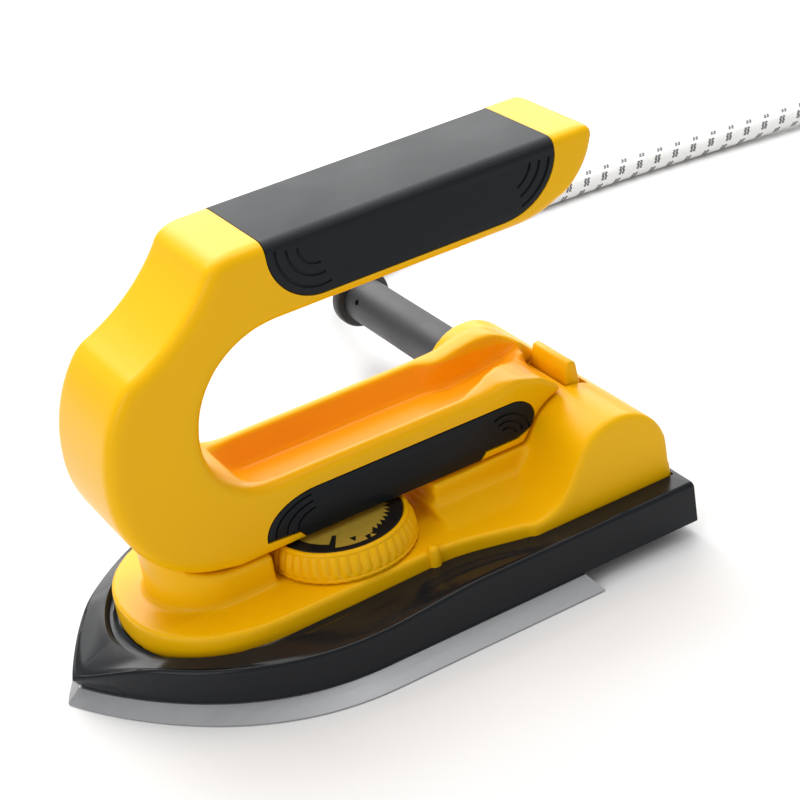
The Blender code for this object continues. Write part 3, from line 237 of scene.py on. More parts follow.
def braid_material():
    """White braid: fine crossed threads, with pairs of slanting grey flecks in staggered rows."""
    mat, tree, shader = new_material("white_flecked_braid")
    uv = tree.nodes.new("ShaderNodeUVMap")
    uv.uv_map = "braid"
    split = add_node(tree, "SeparateXYZ", Vector=uv.outputs[0])
    along, round_it = split.outputs[0], split.outputs[1]

    rows = link_nodes(tree, round_it, ("MULTIPLY", FLECK_ROWS))
    stagger = link_nodes(tree, rows, ("FLOOR", None), ("MULTIPLY", ROW_STAGGER))
    cell = link_nodes(tree, along, ("DIVIDE", FLECK_PITCH), ("ADD", stagger), ("FRACT", None),
                      ("SUBTRACT", 0.5), ("MULTIPLY", FLECK_PITCH))
    across = link_nodes(tree, rows, ("FRACT", None), ("SUBTRACT", 0.5), ("MULTIPLY", ROW_WIDTH))
    jag = link_nodes(tree, across, ("MULTIPLY", 5.2), ("SINE", None), ("MULTIPLY", FLECK_JAG))
    slant = link_nodes(tree, across, ("MULTIPLY", FLECK_LEAN), ("ADD", jag))
    wide = link_nodes(tree, cell, ("SUBTRACT", slant), ("ABSOLUTE", None), ("SUBTRACT", FLECK_APART),
                      ("ABSOLUTE", None), ("LESS_THAN", FLECK_HALF))
    tall = link_nodes(tree, across, ("ABSOLUTE", None), ("LESS_THAN", FLECK_REACH))
    fleck = link_nodes(tree, wide, ("MULTIPLY", tall))

    threads = []
    for sign in (1, -1):
        spiral = link_nodes(tree, round_it, ("MULTIPLY", sign * THREAD_TURNS))
        threads.append(link_nodes(tree, along, ("MULTIPLY", THREADS_PER_MM), ("ADD", spiral),
                                  ("MULTIPLY", math.tau), ("SINE", None)))
    shade = link_nodes(tree, threads[0], ("MAXIMUM", threads[1]), ("MULTIPLY", 0.5), ("ADD", 0.5))

    light = add_node(tree, "MixRGB", Fac=shade, Color1=(0.80, 0.80, 0.79, 1), Color2=(0.96, 0.96, 0.95, 1))
    grey = add_node(tree, "MixRGB", Fac=fleck, Color1=light.outputs[0], Color2=(0.15, 0.15, 0.155, 1))
    bump = add_node(tree, "Bump", Height=shade, Strength=0.55, Distance=0.00025)
    set_inputs(tree, shader, Base_Color=grey.outputs[0], Normal=bump.outputs[0], Roughness=0.85)
    return mat


def grown_ring(bm, edges, ring):
    """Extrudes a ring and gives the new edges, and the new corners in the old ones' order."""
    grown = bmesh.ops.extrude_edge_only(bm, edges=edges)["geom"]
    fresh = {v for v in grown if isinstance(v, bmesh.types.BMVert)}
    edges = [e for e in grown if isinstance(e, bmesh.types.BMEdge) and all(v in fresh for v in e.verts)]
    return edges, [next(e.other_vert(v) for e in v.link_edges if e.other_vert(v) in fresh) for v in ring]


def round_tube(name, points, radius, sides, mat):
    """A tube swept along points in millimetres, with its length and its turn as texture places."""
    bm = bmesh.new()
    direction = (points[1] - points[0]).normalized()
    start = direction.to_track_quat("Z", "Y").to_matrix().to_4x4()
    ring = bmesh.ops.create_circle(bm, segments=sides, radius=radius,
                                   matrix=Matrix.Translation(points[0]) @ start)["verts"]
    bm.faces.new(ring)
    edges = list({e for v in ring for e in v.link_edges})
    rings = [ring]
    for i in range(1, len(points)):
        ahead = points[min(i + 1, len(points) - 1)] - points[i - 1]
        bend = direction.rotation_difference(ahead.normalized()).to_matrix().to_4x4()
        direction = ahead.normalized()
        edges, ring = grown_ring(bm, edges, ring)
        move = Matrix.Translation(points[i]) @ bend @ Matrix.Translation(-points[i - 1])
        bmesh.ops.transform(bm, matrix=move, verts=ring)
        rings.append(ring)
    bm.faces.new(ring)
    lengths = [0.0]
    for a, b in zip(points, points[1:]):
        lengths.append(lengths[-1] + (b - a).length)
    place = {v: (lengths[i], k / sides) for i, ring in enumerate(rings) for k, v in enumerate(ring)}
    layer = bm.loops.layers.uv.new("braid")
    for face in bm.faces:
        turns = [place[v][1] for v in face.verts]
        wraps = max(turns) - min(turns) > 0.5 and len(face.verts) == 4
        for corner in face.loops:
            u, v = place[corner.vert]
            corner[layer].uv = (u, v + 1.0 if wraps and v < 0.5 else v)
    return finished(name, bm, mat, 60)


def finished(name, bm, mat, crease=30):
    """Merges doubles, points the faces outwards, turns millimetres into metres and shades it."""
    bmesh.ops.remove_doubles(bm, verts=bm.verts, dist=1e-4)
    bmesh.ops.recalc_face_normals(bm, faces=bm.faces)
    bmesh.ops.transform(bm, matrix=Matrix.Scale(MM, 4), verts=bm.verts)
    mesh = bpy.data.meshes.new(name)
    bm.to_mesh(mesh)
    bm.free()
    obj = bpy.data.objects.new(name, mesh)
    scene.collection.objects.link(obj)
    if mat is not None:
        mesh.materials.append(mat)
    mesh.shade_smooth()
    mesh.set_sharp_from_angle(angle=math.radians(crease))
    return obj


braid = braid_material()
lead_points = eased_route([Vector(p) / MM for p in LEAD_ROUTE], 5)
lead_points += [Vector((x, COIL_CENTRE.y + COIL_OUTER, COIL_FLOOR)) for x in COIL_RUN_IN]
lead_points += coil_turns()
lead_points += [Vector(p) / MM for p in COIL_RUN_OUT]
lead_points += eased_route([Vector(p) / MM for p in TAIL_ROUTE], 4)
lead = round_tube("lead", lead_points, LEAD_R, LEAD_SIDES, braid)
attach(lead, "iron")
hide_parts("cord", "cord_coil", "cord_tail")


# ---- Soleplate ----
# Cast alloy plate with a flat sole and a sharp bevelled edge that flares out past the skirt. The
# heater is cast into its thick middle. Its face is satin, with faint rubbing along its length.

PLATE_LOW, PLATE_HIGH = box_in_mm("soleplate")
SKIRT_LOW, SKIRT_HIGH = box_in_mm("skirt")
SIDE_START = -12.2
PLATE_EDGE = 3.6
FOOT_NOSE = PLATE_LOW.x + 3.9
NOSE_STEPS = 64
SIDE_STEPS = 84


def both_sides(half_plan):
    """The whole plan, from the half that starts at the nose on the middle line."""
    return [(x, -y) for x, y in half_plan] + list(reversed(half_plan[1:]))


def nose_plan(nose, half, rear):
    """Plan of the plate or the skirt: a curved nose, straight sides and a square rear."""
    side = []
    for i in range(1, NOSE_STEPS + 1):
        u = math.cos(0.5 * math.pi * i / NOSE_STEPS)
        side.append((SIDE_START - (SIDE_START - nose) * u, half * (1 - u ** 2.2) ** 0.9))
    side += [(SIDE_START + (rear - SIDE_START) * i / SIDE_STEPS, half) for i in range(1, SIDE_STEPS + 1)]
    return both_sides([(nose, 0.0)] + side)


def at_height(outline, z):
    return [(x, y, z) for x, y in outline]


def raised_skin(levels, ends=True):
    """A skin drawn up from one closed outline to the next, with a face over each end."""
    bm = bmesh.new()
    ring = [bm.verts.new(p) for p in levels[0]]
    edges = [bm.edges.new(pair) for pair in zip(ring, ring[1:] + ring[:1])]
    first = list(edges)
    if ends:
        bm.faces.new(ring)
    for level in levels[1:]:
        edges, ring = grown_ring(bm, edges, ring)
        for vert, place in zip(ring, level):
            vert.co = place
    if ends:
        bm.faces.new(ring)
    else:
        bmesh.ops.bridge_loops(bm, edges=first + edges)
    return bm


def moulded_finish(name, colours, clouds, gloss, skin, metallic=0.0, specular=0.5, stretch=(1, 1, 1)):
    """A surface that clouds softly between two colours, with uneven gloss and a fine skin on it."""
    mat, tree, shader = new_material(name)
    spread = add_node(tree, "Mapping", Vector=object_place(tree), Scale=stretch).outputs[0]
    cloud = add_node(tree, "TexNoise", Vector=spread, Scale=clouds, Detail=3.0).outputs["Fac"]
    colour = add_node(tree, "MixRGB", Fac=cloud, Color1=(*colours[0], 1), Color2=(*colours[1], 1))
    colour.name = "colour"
    rough = add_node(tree, "MapRange", Value=cloud, From_Min=0.3, From_Max=0.7, To_Min=gloss[0],
                     To_Max=gloss[1])
    grain = add_node(tree, "TexNoise", Vector=spread, Scale=skin[0], Detail=2.0).outputs["Fac"]
    bump = add_node(tree, "Bump", Height=grain, Strength=0.5, Distance=skin[1])
    set_inputs(tree, shader, Base_Color=colour.outputs[0], Roughness=rough.outputs[0], Normal=bump.outputs[0],
               Metallic=metallic, Specular_IOR_Level=specular)
    return mat


plate_alloy = moulded_finish("satin_plate_alloy", ((0.300, 0.305, 0.315), (0.355, 0.360, 0.368)), 60,
                             (0.34, 0.46), (900, 0.00002), metallic=0.55, stretch=(1, 9, 9))
low_edge = nose_plan(PLATE_LOW.x, PLATE_HIGH.y, PLATE_HIGH.x)
sole_edge = nose_plan(PLATE_LOW.x + 0.35, PLATE_HIGH.y - 0.35, PLATE_HIGH.x - 0.3)
high_edge = nose_plan(FOOT_NOSE - 0.2, SKIRT_HIGH.y - 0.1, PLATE_HIGH.x - 2.0)
core_edge = nose_plan(FOOT_NOSE + 7.0, SKIRT_HIGH.y - 2.6, PLATE_HIGH.x - 2.2)
soleplate = finished("soleplate_cast", raised_skin([
    at_height(sole_edge, 0.0), at_height(low_edge, 0.25), at_height(low_edge, 0.5),
    at_height(high_edge, PLATE_EDGE), at_height(core_edge, PLATE_EDGE), at_height(core_edge, PLATE_HIGH.z)]),
    plate_alloy, 20)
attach(soleplate, "iron")
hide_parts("soleplate")


# ---- Skirt ----
# Glossy heat resistant moulding round the plate. Its roof climbs from a rounded shoulder to the
# housing, with a raised facet round the nose and a shallow pocket on each flank.

HOUSING_NOSE = -61.5
HOUSING_HALF = 31.0
HOUSING_REAR_HALF = 38.6
HOUSING_REAR = 79.0
LIP_TOP = 10.6
LIP_BOTTOM = 9.0
SHOULDER_ROUND = 1.3
SHOULDER_NOSE, SHOULDER_LOW = -78.2, 7.6
NOSE_CLIMB, FLANK_CLIMB = 6.2, 1.9
BORDER_LOW, BORDER_NOSE_CLIMB, BORDER_REAR_CLIMB = 12.3, 2.1, 1.5
POCKET_FRONT = -4.0
POCKET_MIDDLE = 12.0
POCKET_REAR = 36.0
POCKET_WIDTH = 8.2
POCKET_DEPTH = 0.6
FACET_RISE = 1.25
FACET_STEP = 1.95
ROOF_STEPS = (0.16, 0.24, 0.32, 0.40, 0.48, 0.56, 0.64, 0.70, 0.76, 0.79, 0.82, 0.85, 0.90, 0.95, 1.0)


def housing_half(x):
    return HOUSING_HALF + (HOUSING_REAR_HALF - HOUSING_HALF) * eased(x, 12.0, 44.0)


def housing_plan(inset=0.0):
    """Plan of the base housing: a round nose that widens towards the rear."""
    reach = HOUSING_HALF + 0.5
    centre = HOUSING_NOSE + reach
    side = []
    for i in range(1, NOSE_STEPS + 1):
        a = math.radians(90 * i / NOSE_STEPS)
        side.append((centre - (reach - inset) * max(0.0, math.cos(a)) ** 0.92,
                     (HOUSING_HALF - inset) * math.sin(a) ** 0.92))
    for i in range(1, SIDE_STEPS + 1):
        x = centre + (HOUSING_REAR - inset - centre) * i / SIDE_STEPS
        side.append((x, housing_half(x) - inset))
    return both_sides([(HOUSING_NOSE + inset, 0.0)] + side)


def shoulder_height(x):
    """Height of the skirt's outer edge: low at the nose, then up to a nearly level flank."""
    rise = min(1.0, max(0.0, (x - SHOULDER_NOSE) / 16.0))
    return SHOULDER_LOW + NOSE_CLIMB * math.sin(0.5 * math.pi * rise) + FLANK_CLIMB * eased(x, -12.0, 18.0)


def border_height(x):
    """Height of the roof where it meets the housing: a climb over the nose, then a gentler one."""
    front = min(1.0, max(0.0, (x - HOUSING_NOSE) / 20.0))
    rear = min(1.0, max(0.0, (x + 12.0) / 57.0))
    return BORDER_LOW + BORDER_NOSE_CLIMB * front + BORDER_REAR_CLIMB * rear


def roof_shape(x, y, t):
    """What the roof gains or loses on a straight slope, t from the shoulder (0) to the housing (1)."""
    nose = 1 - eased(x, -44.0, -8.0)
    facet = FACET_RISE * min(1.0, t / 0.72) - FACET_STEP * eased(t, 0.76, 0.86)
    gain = nose * facet * (1 - eased(t, 0.95, 1.0) * 0.5)
    if POCKET_FRONT < x < POCKET_REAR:
        shoulder = SKIRT_HIGH.y - SHOULDER_ROUND
        closing = (max(x, POCKET_MIDDLE) - POCKET_MIDDLE) / (POCKET_REAR - POCKET_MIDDLE)
        width = POCKET_WIDTH * eased(x, POCKET_FRONT, POCKET_FRONT + 10.0) * (1 - closing ** 2)
        sunk = eased(abs(y) - (shoulder - width), 0.0, 2.2) * (1 - 0.9 * eased(abs(y), 37.0, shoulder))
        gain -= POCKET_DEPTH * sunk
    return gain


shield_edge = nose_plan(FOOT_NOSE - 1.4, SKIRT_HIGH.y, SKIRT_HIGH.x)
shield_foot = nose_plan(FOOT_NOSE, SKIRT_HIGH.y, SKIRT_HIGH.x)
shield_inner = nose_plan(FOOT_NOSE + 5.2, SKIRT_HIGH.y - 2.0, SKIRT_HIGH.x - 2.0)
housing_seat = housing_plan(-0.3)
shield_levels = [at_height(nose_plan(FOOT_NOSE + 0.3, SKIRT_HIGH.y - 0.3, SKIRT_HIGH.x - 0.3), SKIRT_LOW.z),
                 at_height(shield_foot, SKIRT_LOW.z + 0.3)]
for turn in (0, 22, 45, 68, 90):
    inward = SHOULDER_ROUND * (1 - math.cos(math.radians(turn)))
    drop = SHOULDER_ROUND * (1 - math.sin(math.radians(turn)))
    level = []
    for (ex, ey), (sx, sy) in zip(shield_edge, housing_seat):
        gap = max(1.4, math.hypot(sx - ex, sy - ey))
        share = min(0.9, inward / gap)
        level.append((ex + (sx - ex) * share, ey + (sy - ey) * share, shoulder_height(ex) - drop))
    shield_levels.append(level)
for step in ROOF_STEPS:
    level = []
    for (ex, ey), (sx, sy) in zip(shield_edge, housing_seat):
        x, y = ex + (sx - ex) * step, ey + (sy - ey) * step
        z = shoulder_height(ex) + (border_height(sx) - shoulder_height(ex)) * step
        level.append((x, y, z + roof_shape(x, y, step) * (1.0 if abs(ex - sx) + abs(ey - sy) > 3 else 0.0)))
    shield_levels.append(level)
shield_levels += [at_height(housing_seat, LIP_TOP), at_height(housing_plan(4.0), LIP_TOP),
                  at_height(housing_plan(4.0), LIP_BOTTOM),
                  [(min(x, SKIRT_HIGH.x - 2.3), y, LIP_BOTTOM) for x, y in housing_plan(-2.0)],
                  [(x, y, LIP_BOTTOM + 0.3 if x > SKIRT_HIGH.x - 3 else shoulder_height(x) - 2.2)
                   for x, y in shield_inner],
                  at_height(shield_inner, SKIRT_LOW.z)]
gloss_black = moulded_finish("gloss_black_phenolic", ((0.0075, 0.0090, 0.0110), (0.0105, 0.0120, 0.0145)),
                             35, (0.16, 0.24), (700, 0.000012), specular=0.20)
skirt = finished("heat_skirt", raised_skin(shield_levels, ends=False), gloss_black, 32)
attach(skirt, "iron")
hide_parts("skirt")


# ---- Base housing ----
# One glossy yellow shell: a flat deck, a front island and a rear block under the handle, and the
# barrel across the rear that holds the cord sleeve. All its edges are softly rounded by the mould.

DECK_TOP = 19.2
DECK_UNDER = 17.2
ISLAND_TOP = 27.9
LOWER_BOTTOM = 28.2
BARREL_X, BARREL_Z, BARREL_R = 64.6, 24.4, 14.2
ISLAND_X, ISLAND_LONG, ISLAND_HALF, ISLAND_REAR = -38.5, 15.0, 16.4, -25.4
CHIN_X, CHIN_Z, CHIN_LONG, CHIN_DEEP = -33.6, 57.0, 28.7, 29.0
WALL = 2.0
TAB_LOW, TAB_HIGH = box_in_mm("release_tab")
DIAL_LOW, DIAL_HIGH = box_in_mm("dial_knob")
DIAL_X, DIAL_Y = (DIAL_LOW.x + DIAL_HIGH.x) / 2, (DIAL_LOW.y + DIAL_HIGH.y) / 2


def arc(cx, cz, rx, rz, start, end, steps):
    """Places along part of an ellipse, both ends included; angles in degrees."""
    turns = [math.radians(start + (end - start) * i / steps) for i in range(steps + 1)]
    return [(cx + rx * math.cos(a), cz + rz * math.sin(a)) for a in turns]


def pushed_form(name, outline, axis, low, high):
    """An outline pushed along an axis from low to high; its points are the other two axes' places."""
    spot = "xyz".index(axis)
    way = Vector((0, 0, 0))
    way[spot] = 1
    bm = bmesh.new()
    face = bm.faces.new([bm.verts.new((*point[:spot], low, *point[spot:])) for point in outline])
    grown = bmesh.ops.extrude_face_region(bm, geom=[face])["geom"]
    fresh = [item for item in grown if isinstance(item, bmesh.types.BMVert)]
    bmesh.ops.translate(bm, vec=way * (high - low), verts=fresh)
    return finished(name, bm, None)


def block_form(name, low, high):
    return pushed_form(name, [(low[0], low[1]), (high[0], low[1]), (high[0], high[1]), (low[0], high[1])],
                       "z", low[2], high[2])


def turned_form(name, profile, place, axis, steps, mat=None, crease=30):
    """A closed profile of radius and height, spun about an axis that starts at a place."""
    bm = bmesh.new()
    verts = [bm.verts.new((r, 0, h)) for r, h in profile]
    for a, b in zip(verts, verts[1:] + verts[:1]):
        if a.co.x > 1e-6 or b.co.x > 1e-6:
            bm.edges.new((a, b))
    bmesh.ops.spin(bm, geom=bm.verts[:] + bm.edges[:], cent=(0, 0, 0), axis=(0, 0, 1), angle=math.tau,
                   steps=steps, use_merge=True)
    turn = Vector((0, 0, 1)).rotation_difference(Vector(axis)).to_matrix().to_4x4()
    bmesh.ops.transform(bm, matrix=Matrix.Translation(place) @ turn, verts=bm.verts)
    return finished(name, bm, mat, crease)


def peg(name, radius, length, place, axis, steps=24):
    return turned_form(name, [(0, 0), (radius, 0), (radius, length), (0, length)], place, axis, steps)


def shaped(obj, operation, *others):
    """Joins other forms to an object, or takes them out of it, and clears them away."""
    for other in others:
        step = obj.modifiers.new(operation.lower(), "BOOLEAN")
        step.operation = operation
        step.solver = "EXACT"
        step.object = other
    bake(obj)
    for other in others:
        bpy.data.objects.remove(other, do_unlink=True)
    return obj


def bake(obj):
    bpy.context.view_layer.update()
    mesh = bpy.data.meshes.new_from_object(obj.evaluated_get(bpy.context.evaluated_depsgraph_get()))
    obj.modifiers.clear()
    obj.data = mesh


def softened(obj, cell, passes):
    """Lays an even fine skin over a form and eases it, which rounds its edges and hollows alike."""
    skin = obj.modifiers.new("skin", "REMESH")
    skin.mode = "VOXEL"
    skin.voxel_size = cell * MM
    ease = obj.modifiers.new("ease", "SMOOTH")
    ease.factor = 0.5
    ease.iterations = passes
    bake(obj)


def surfaced(obj, mat, crease):
    obj.data.materials.clear()
    obj.data.materials.append(mat)
    obj.data.shade_smooth()
    obj.data.set_sharp_from_angle(angle=math.radians(crease))


def hump_side(inset, base):
    """Side of the housing's rear: a hollow rise into the round barrel."""
    rise = [(36.0, base), (36.0, DECK_TOP - 0.1 - inset), (40.0, 19.4 - inset), (42.6, 20.2 - inset),
            (45.0, 21.6 - inset), (47.1 + inset * 0.7, 23.6 - inset * 0.7),
            (49.0 + inset, 26.2 - inset * 0.3)]
    crown = arc(BARREL_X, BARREL_Z, BARREL_R - inset, BARREL_R - inset, 152, 0, 30)
    return rise + crown + [(BARREL_X + BARREL_R - inset, base)]


def island_plan(inset):
    half = ISLAND_HALF - inset
    nose = arc(ISLAND_X + inset, 0, ISLAND_LONG, half, 90, 270, 30)
    return nose + [(ISLAND_REAR - inset, -half), (ISLAND_REAR - inset, half)]


def handle_foot(grow):
    """Side of the handle's rounded chin and flat underside, grown by the gap round it."""
    chin = arc(CHIN_X, CHIN_Z, CHIN_LONG + grow, CHIN_DEEP + grow, 150, 270, 40)
    return chin + [(0, LOWER_BOTTOM - grow), (0, 90)]


def yellow_plastic(name):
    return moulded_finish(name, ((0.86, 0.455, 0.0005), (0.90, 0.490, 0.0008)), 22, (0.26, 0.36),
                          (520, 0.000018), specular=0.16)


housing = pushed_form("base_shell", housing_plan(), "z", LIP_TOP + 0.3, DECK_TOP)
hump = pushed_form("hump", hump_side(0.0, LIP_TOP + 0.3), "y", -HOUSING_REAR_HALF, HOUSING_REAR_HALF)
island = pushed_form("island", island_plan(0.0), "z", DECK_UNDER, 40)
shaped(island, "DIFFERENCE", pushed_form("foot_room", handle_foot(0.35), "y", -30, 30))
rear_block = block_form("rear_block", (20.8, -17.2, DECK_UNDER), (52.0, 17.2, ISLAND_TOP))
crown = pushed_form("crown", [(-30, 18.4), (30, 18.4), (17, 22.5), (-17, 22.5)], "x", 19.0, 52.0)
shaped(housing, "UNION", hump, island, rear_block, crown)
softened(housing, 0.68, 12)
rib = turned_form("index_rib", [(0, 0), (1.55, 0), (1.55, 5.2), (1.3, 5.9), (0.7, 6.35), (0, 6.45)],
                  (11.2, 0.15 - HOUSING_HALF, 14.3), (0, 0, 1), 24)
shaped(housing, "UNION", rib)
hollow = pushed_form("deck_hollow", housing_plan(WALL), "z", 5.0, DECK_UNDER)
hump_hollow = pushed_form("hump_hollow", hump_side(WALL, 6.0), "y", WALL - HOUSING_REAR_HALF,
                          HOUSING_REAR_HALF - WALL)
island_hollow = pushed_form("island_hollow", island_plan(WALL), "z", DECK_UNDER - 1, ISLAND_TOP - WALL)
spindle_hole = peg("spindle_hole", 3.5, 6.0, (DIAL_X, DIAL_Y, 15.0), (0, 0, 1))
sleeve_hole = peg("sleeve_hole", 9.7, 9.0, (BARREL_X, HOUSING_REAR_HALF - 5, BARREL_Z), (0, 1, 0), 48)
tab_slot = block_form("tab_slot", (64.4, TAB_LOW.y - 0.5, 30), (71.4, TAB_HIGH.y + 0.5, 50))
shaped(hollow, "UNION", hump_hollow, island_hollow, spindle_hole, sleeve_hole, tab_slot)
shaped(housing, "DIFFERENCE", hollow)

yellow = yellow_plastic("gloss_yellow_plastic")
surfaced(housing, yellow, 50)
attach(housing, "iron")
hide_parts("base_housing")


# ---- Handle ----
# One yellow moulding open at the rear: front limb, top bar and lower bar, with a finger trough along
# the lower bar. The trough's inside is painted a deeper orange as the shade of light bounced round in it,
# and a fine seam runs along its far corner.

HANDLE_HALF = 17.0
HANDLE_TOP = 107.6
LOWER_TOP = 46.4
RIM = 2.9
GRIP_LOW, GRIP_HIGH = box_in_mm("grip")
PANEL_LOW, PANEL_HIGH = box_in_mm("side_panel_left")
SKIN_GAP = 0.25
GRIP_SINK = 2.05
PANEL_SINK = 1.8
COVER_SINK = 2.6
HAND_R = 25.1
GRIP_FRONT_R, GRIP_REAR_LONG, GRIP_REAR_DEEP = 13.0, 17.0, 15.0
PANEL_FRONT_LONG, PANEL_FRONT_DEEP = 15.5, 9.8
RIM_TURNS = (0, 15, 30, 45, 60, 75, 90)
TROUGH_FRONT, TROUGH_REAR, TROUGH_HALF = -0.030, 0.0625, 0.0133
TROUGH_FLOOR, TROUGH_RIM = 0.0382, 0.04605


def offset_outline(points, distance):
    """Moves a closed counterclockwise outline outward, by one distance or by one for each point."""
    steps = distance if isinstance(distance, list) else [distance] * len(points)
    result = []
    for i, here in enumerate(points):
        before = Vector(here) - Vector(points[i - 1])
        after = Vector(points[(i + 1) % len(points)]) - Vector(here)
        first = Vector((before.y, -before.x)).normalized()
        second = Vector((after.y, -after.x)).normalized()
        mitre = (first + second).normalized()
        reach = steps[i] / max(0.35, mitre.dot(first))
        result.append((here[0] + mitre.x * reach, here[1] + mitre.y * reach))
    return result


def handle_side():
    """Side of the whole handle: a C that is open at the rear."""
    top = arc(78.5, 104.9, 2.8, 2.7, 6, 90, 7) + [(-19.5, HANDLE_TOP)]
    brow = arc(-19.5, 101.2, 8.6, 6.4, 100, 150, 10)
    waist = arc(-69.4, 134.0, 52.0, 52.0, -35.3, -66.0, 20) + [(-50.5, 85.6)]
    bulge = arc(CHIN_X, CHIN_Z, CHIN_LONG, 36.0, 132, 180, 20)
    bulge += arc(CHIN_X, CHIN_Z, CHIN_LONG, CHIN_DEEP, 180, 270, 30)[1:]
    underside = [(-20.0, LOWER_BOTTOM), (49.4, LOWER_BOTTOM)]
    heel = arc(BARREL_X, BARREL_Z, BARREL_R + 0.4, BARREL_R + 0.4, 152, 77, 18)
    hump_line = [(68.6, 39.6), (67.4, 41.2), (66.0, 42.6), (64.1, 44.7), (62.0, 46.4), (60.0, 47.6),
                 (58.0, 48.4), (56.0, 48.85), (54.0, 48.9), (51.0, 48.5), (48.0, 48.0), (45.0, 47.2),
                 (42.0, 46.6)]
    inner = [(36.0, LOWER_TOP)] + arc(-20.6, LOWER_TOP + 16, 16, 16, 270, 180, 18)
    inner += arc(-11.5, 62.4, HAND_R, HAND_R, 180, 90, 26)[1:]
    tail = arc(56.0, HANDLE_TOP, HAND_R, 20.0, -90, -12, 24)
    return top + brow + waist + bulge + underside + heel + hump_line + inner + tail


def grip_side():
    """Side of the grip: a round front corner and a longer rear curve."""
    r = GRIP_FRONT_R
    front = arc(GRIP_LOW.x + r, GRIP_LOW.z + r, r, r, 180, 270, 20)
    rear = arc(GRIP_HIGH.x - GRIP_REAR_LONG, HANDLE_TOP - 2, GRIP_REAR_LONG, GRIP_REAR_DEEP, -90, -10, 20)
    return [(GRIP_HIGH.x, HANDLE_TOP), (GRIP_LOW.x, HANDLE_TOP)] + front + rear


def panel_side():
    """Side of a lower panel: a curved front, a round rear end and a stepped lower edge."""
    low, mid = 31.0, 29.0
    front = arc(PANEL_LOW.x + PANEL_FRONT_LONG, PANEL_HIGH.z - PANEL_FRONT_DEEP, PANEL_FRONT_LONG,
                PANEL_FRONT_DEEP, 180, 90, 16)
    rear = arc(PANEL_HIGH.x - 6.4, PANEL_HIGH.z - 5.4, 6.4, 5.4, 90, -40, 18)
    step = [(PANEL_HIGH.x - 6.0, low), (37.5, low), (35.5, mid), (-15.5, mid), (-17.0, low)]
    return list(reversed(front + rear + step))


def limb_side():
    """Outline of the flush cover on the far side of the front limb."""
    return [(-28.0, 31.2), (-28.0, 40.5), (-34.0, 47.0), (-39.4, 56.0), (-39.8, 65.0), (-37.2, 74.5),
            (-32.0, 82.0), (-25.5, 87.6), (-26.5, 97.0), (-35.0, 90.3), (-46.0, 83.4), (-53.0, 78.5),
            (-57.3, 70.0), (-58.8, 60.0), (-57.0, 47.5), (-50.5, 38.5), (-43.5, 33.4), (-36.0, 31.4)]


def across_bar(rings):
    """Rings of half a width and an outline, laid from the bar's near side across to its far side."""
    near = [[(x, -y, z) for x, z in ring] for y, ring in rings]
    return near + [[(x, y, z) for x, z in ring] for y, ring in reversed(rings)]


outline = handle_side()
seated = [0.25 if (z < LOWER_BOTTOM + 0.8 and x > -36) or (x > 45 and z < 41) else 1.0 for x, z in outline]
seated = [0.4 if x > 70 and z > 85 else share for share, (x, z) in zip(seated, outline)]
near_rings = []
for turn in RIM_TURNS:
    a = math.radians(turn)
    pulled = offset_outline(outline, [-RIM * (1 - math.sin(a)) * share for share in seated])
    near_rings.append((HANDLE_HALF - RIM * (1 - math.cos(a)), pulled))
handle = finished("handle_moulding", raised_skin(across_bar(near_rings)), None)

trough = []
for x, floor_near, floor_far, top_near, top_far, floor in (
        (-27, -6.0, 6.0, -10.0, 10.0, 44.5), (-25.5, -7.2, 7.2, -11.3, 11.3, 42.2),
        (-24, -8.0, 8.0, -12.0, 12.0, 40.6), (-21.5, -8.7, 8.7, -12.7, 12.7, 39.4),
        (-19, -9.0, 9.0, -13.0, 13.0, 39.0), (35, -9.0, 9.0, -13.0, 13.0, 39.0),
        (40, -7.8, 7.2, -10.0, 9.0, 39.2), (50, -3.6, 7.0, -5.0, 8.2, 40.2),
        (58, -1.2, 6.0, -1.8, 7.0, 42.0), (63, -0.4, 3.0, -0.8, 4.0, 45.0)):
    trough.append([(x, floor_near, floor), (x, floor_far, floor), (x, top_far, LOWER_TOP + 0.4),
                   (x, top_far, 60), (x, top_near, 60), (x, top_near, LOWER_TOP + 0.4)])
trough_form = finished("trough_form", raised_skin(trough), None)
slope_side = [(42, 47.4), (50, 47.0), (57, 44.8), (62.2, 40.4), (62.2, 30), (80, 30), (80, 60), (42, 60)]
near_slope = pushed_form("near_slope", slope_side, "y", -HANDLE_HALF - 5, -0.3)
tab_room = pushed_form("tab_room", [(62.2, 30), (80, 30), (80, 60), (62.2, 60)], "y", -2, TAB_HIGH.y + 0.6)
softened(handle, 0.55, 3)
shaped(handle, "DIFFERENCE", near_slope, trough_form, tab_room)
softened(handle, 0.70, 14)

grip_seat = pushed_form("grip_seat", [(x, z + 4 if z > HANDLE_TOP else z)
                                      for x, z in offset_outline(grip_side(), SKIN_GAP)],
                        "y", -HANDLE_HALF - 5, HANDLE_HALF + 5)
bar_core = block_form("bar_core", (GRIP_LOW.x - 9, GRIP_SINK - HANDLE_HALF, HANDLE_TOP - 40),
                      (GRIP_HIGH.x + 9, HANDLE_HALF - GRIP_SINK, HANDLE_TOP - GRIP_SINK))
shaped(grip_seat, "DIFFERENCE", bar_core)
panel_room = offset_outline(panel_side(), SKIN_GAP)
panel_seat_left = pushed_form("panel_seat_left", panel_room, "y", -HANDLE_HALF - 5, PANEL_SINK - HANDLE_HALF)
panel_seat_right = pushed_form("panel_seat_right", panel_room, "y", HANDLE_HALF - PANEL_SINK, HANDLE_HALF + 5)
limb_seat = pushed_form("limb_seat", limb_side(), "y", HANDLE_HALF - COVER_SINK, HANDLE_HALF + 5)
seam = block_form("trough_seam", (-20.0, 8.75, 38.4), (34.5, 9.05, 39.4))
shaped(handle, "DIFFERENCE", grip_seat, panel_seat_left, panel_seat_right, limb_seat, seam)
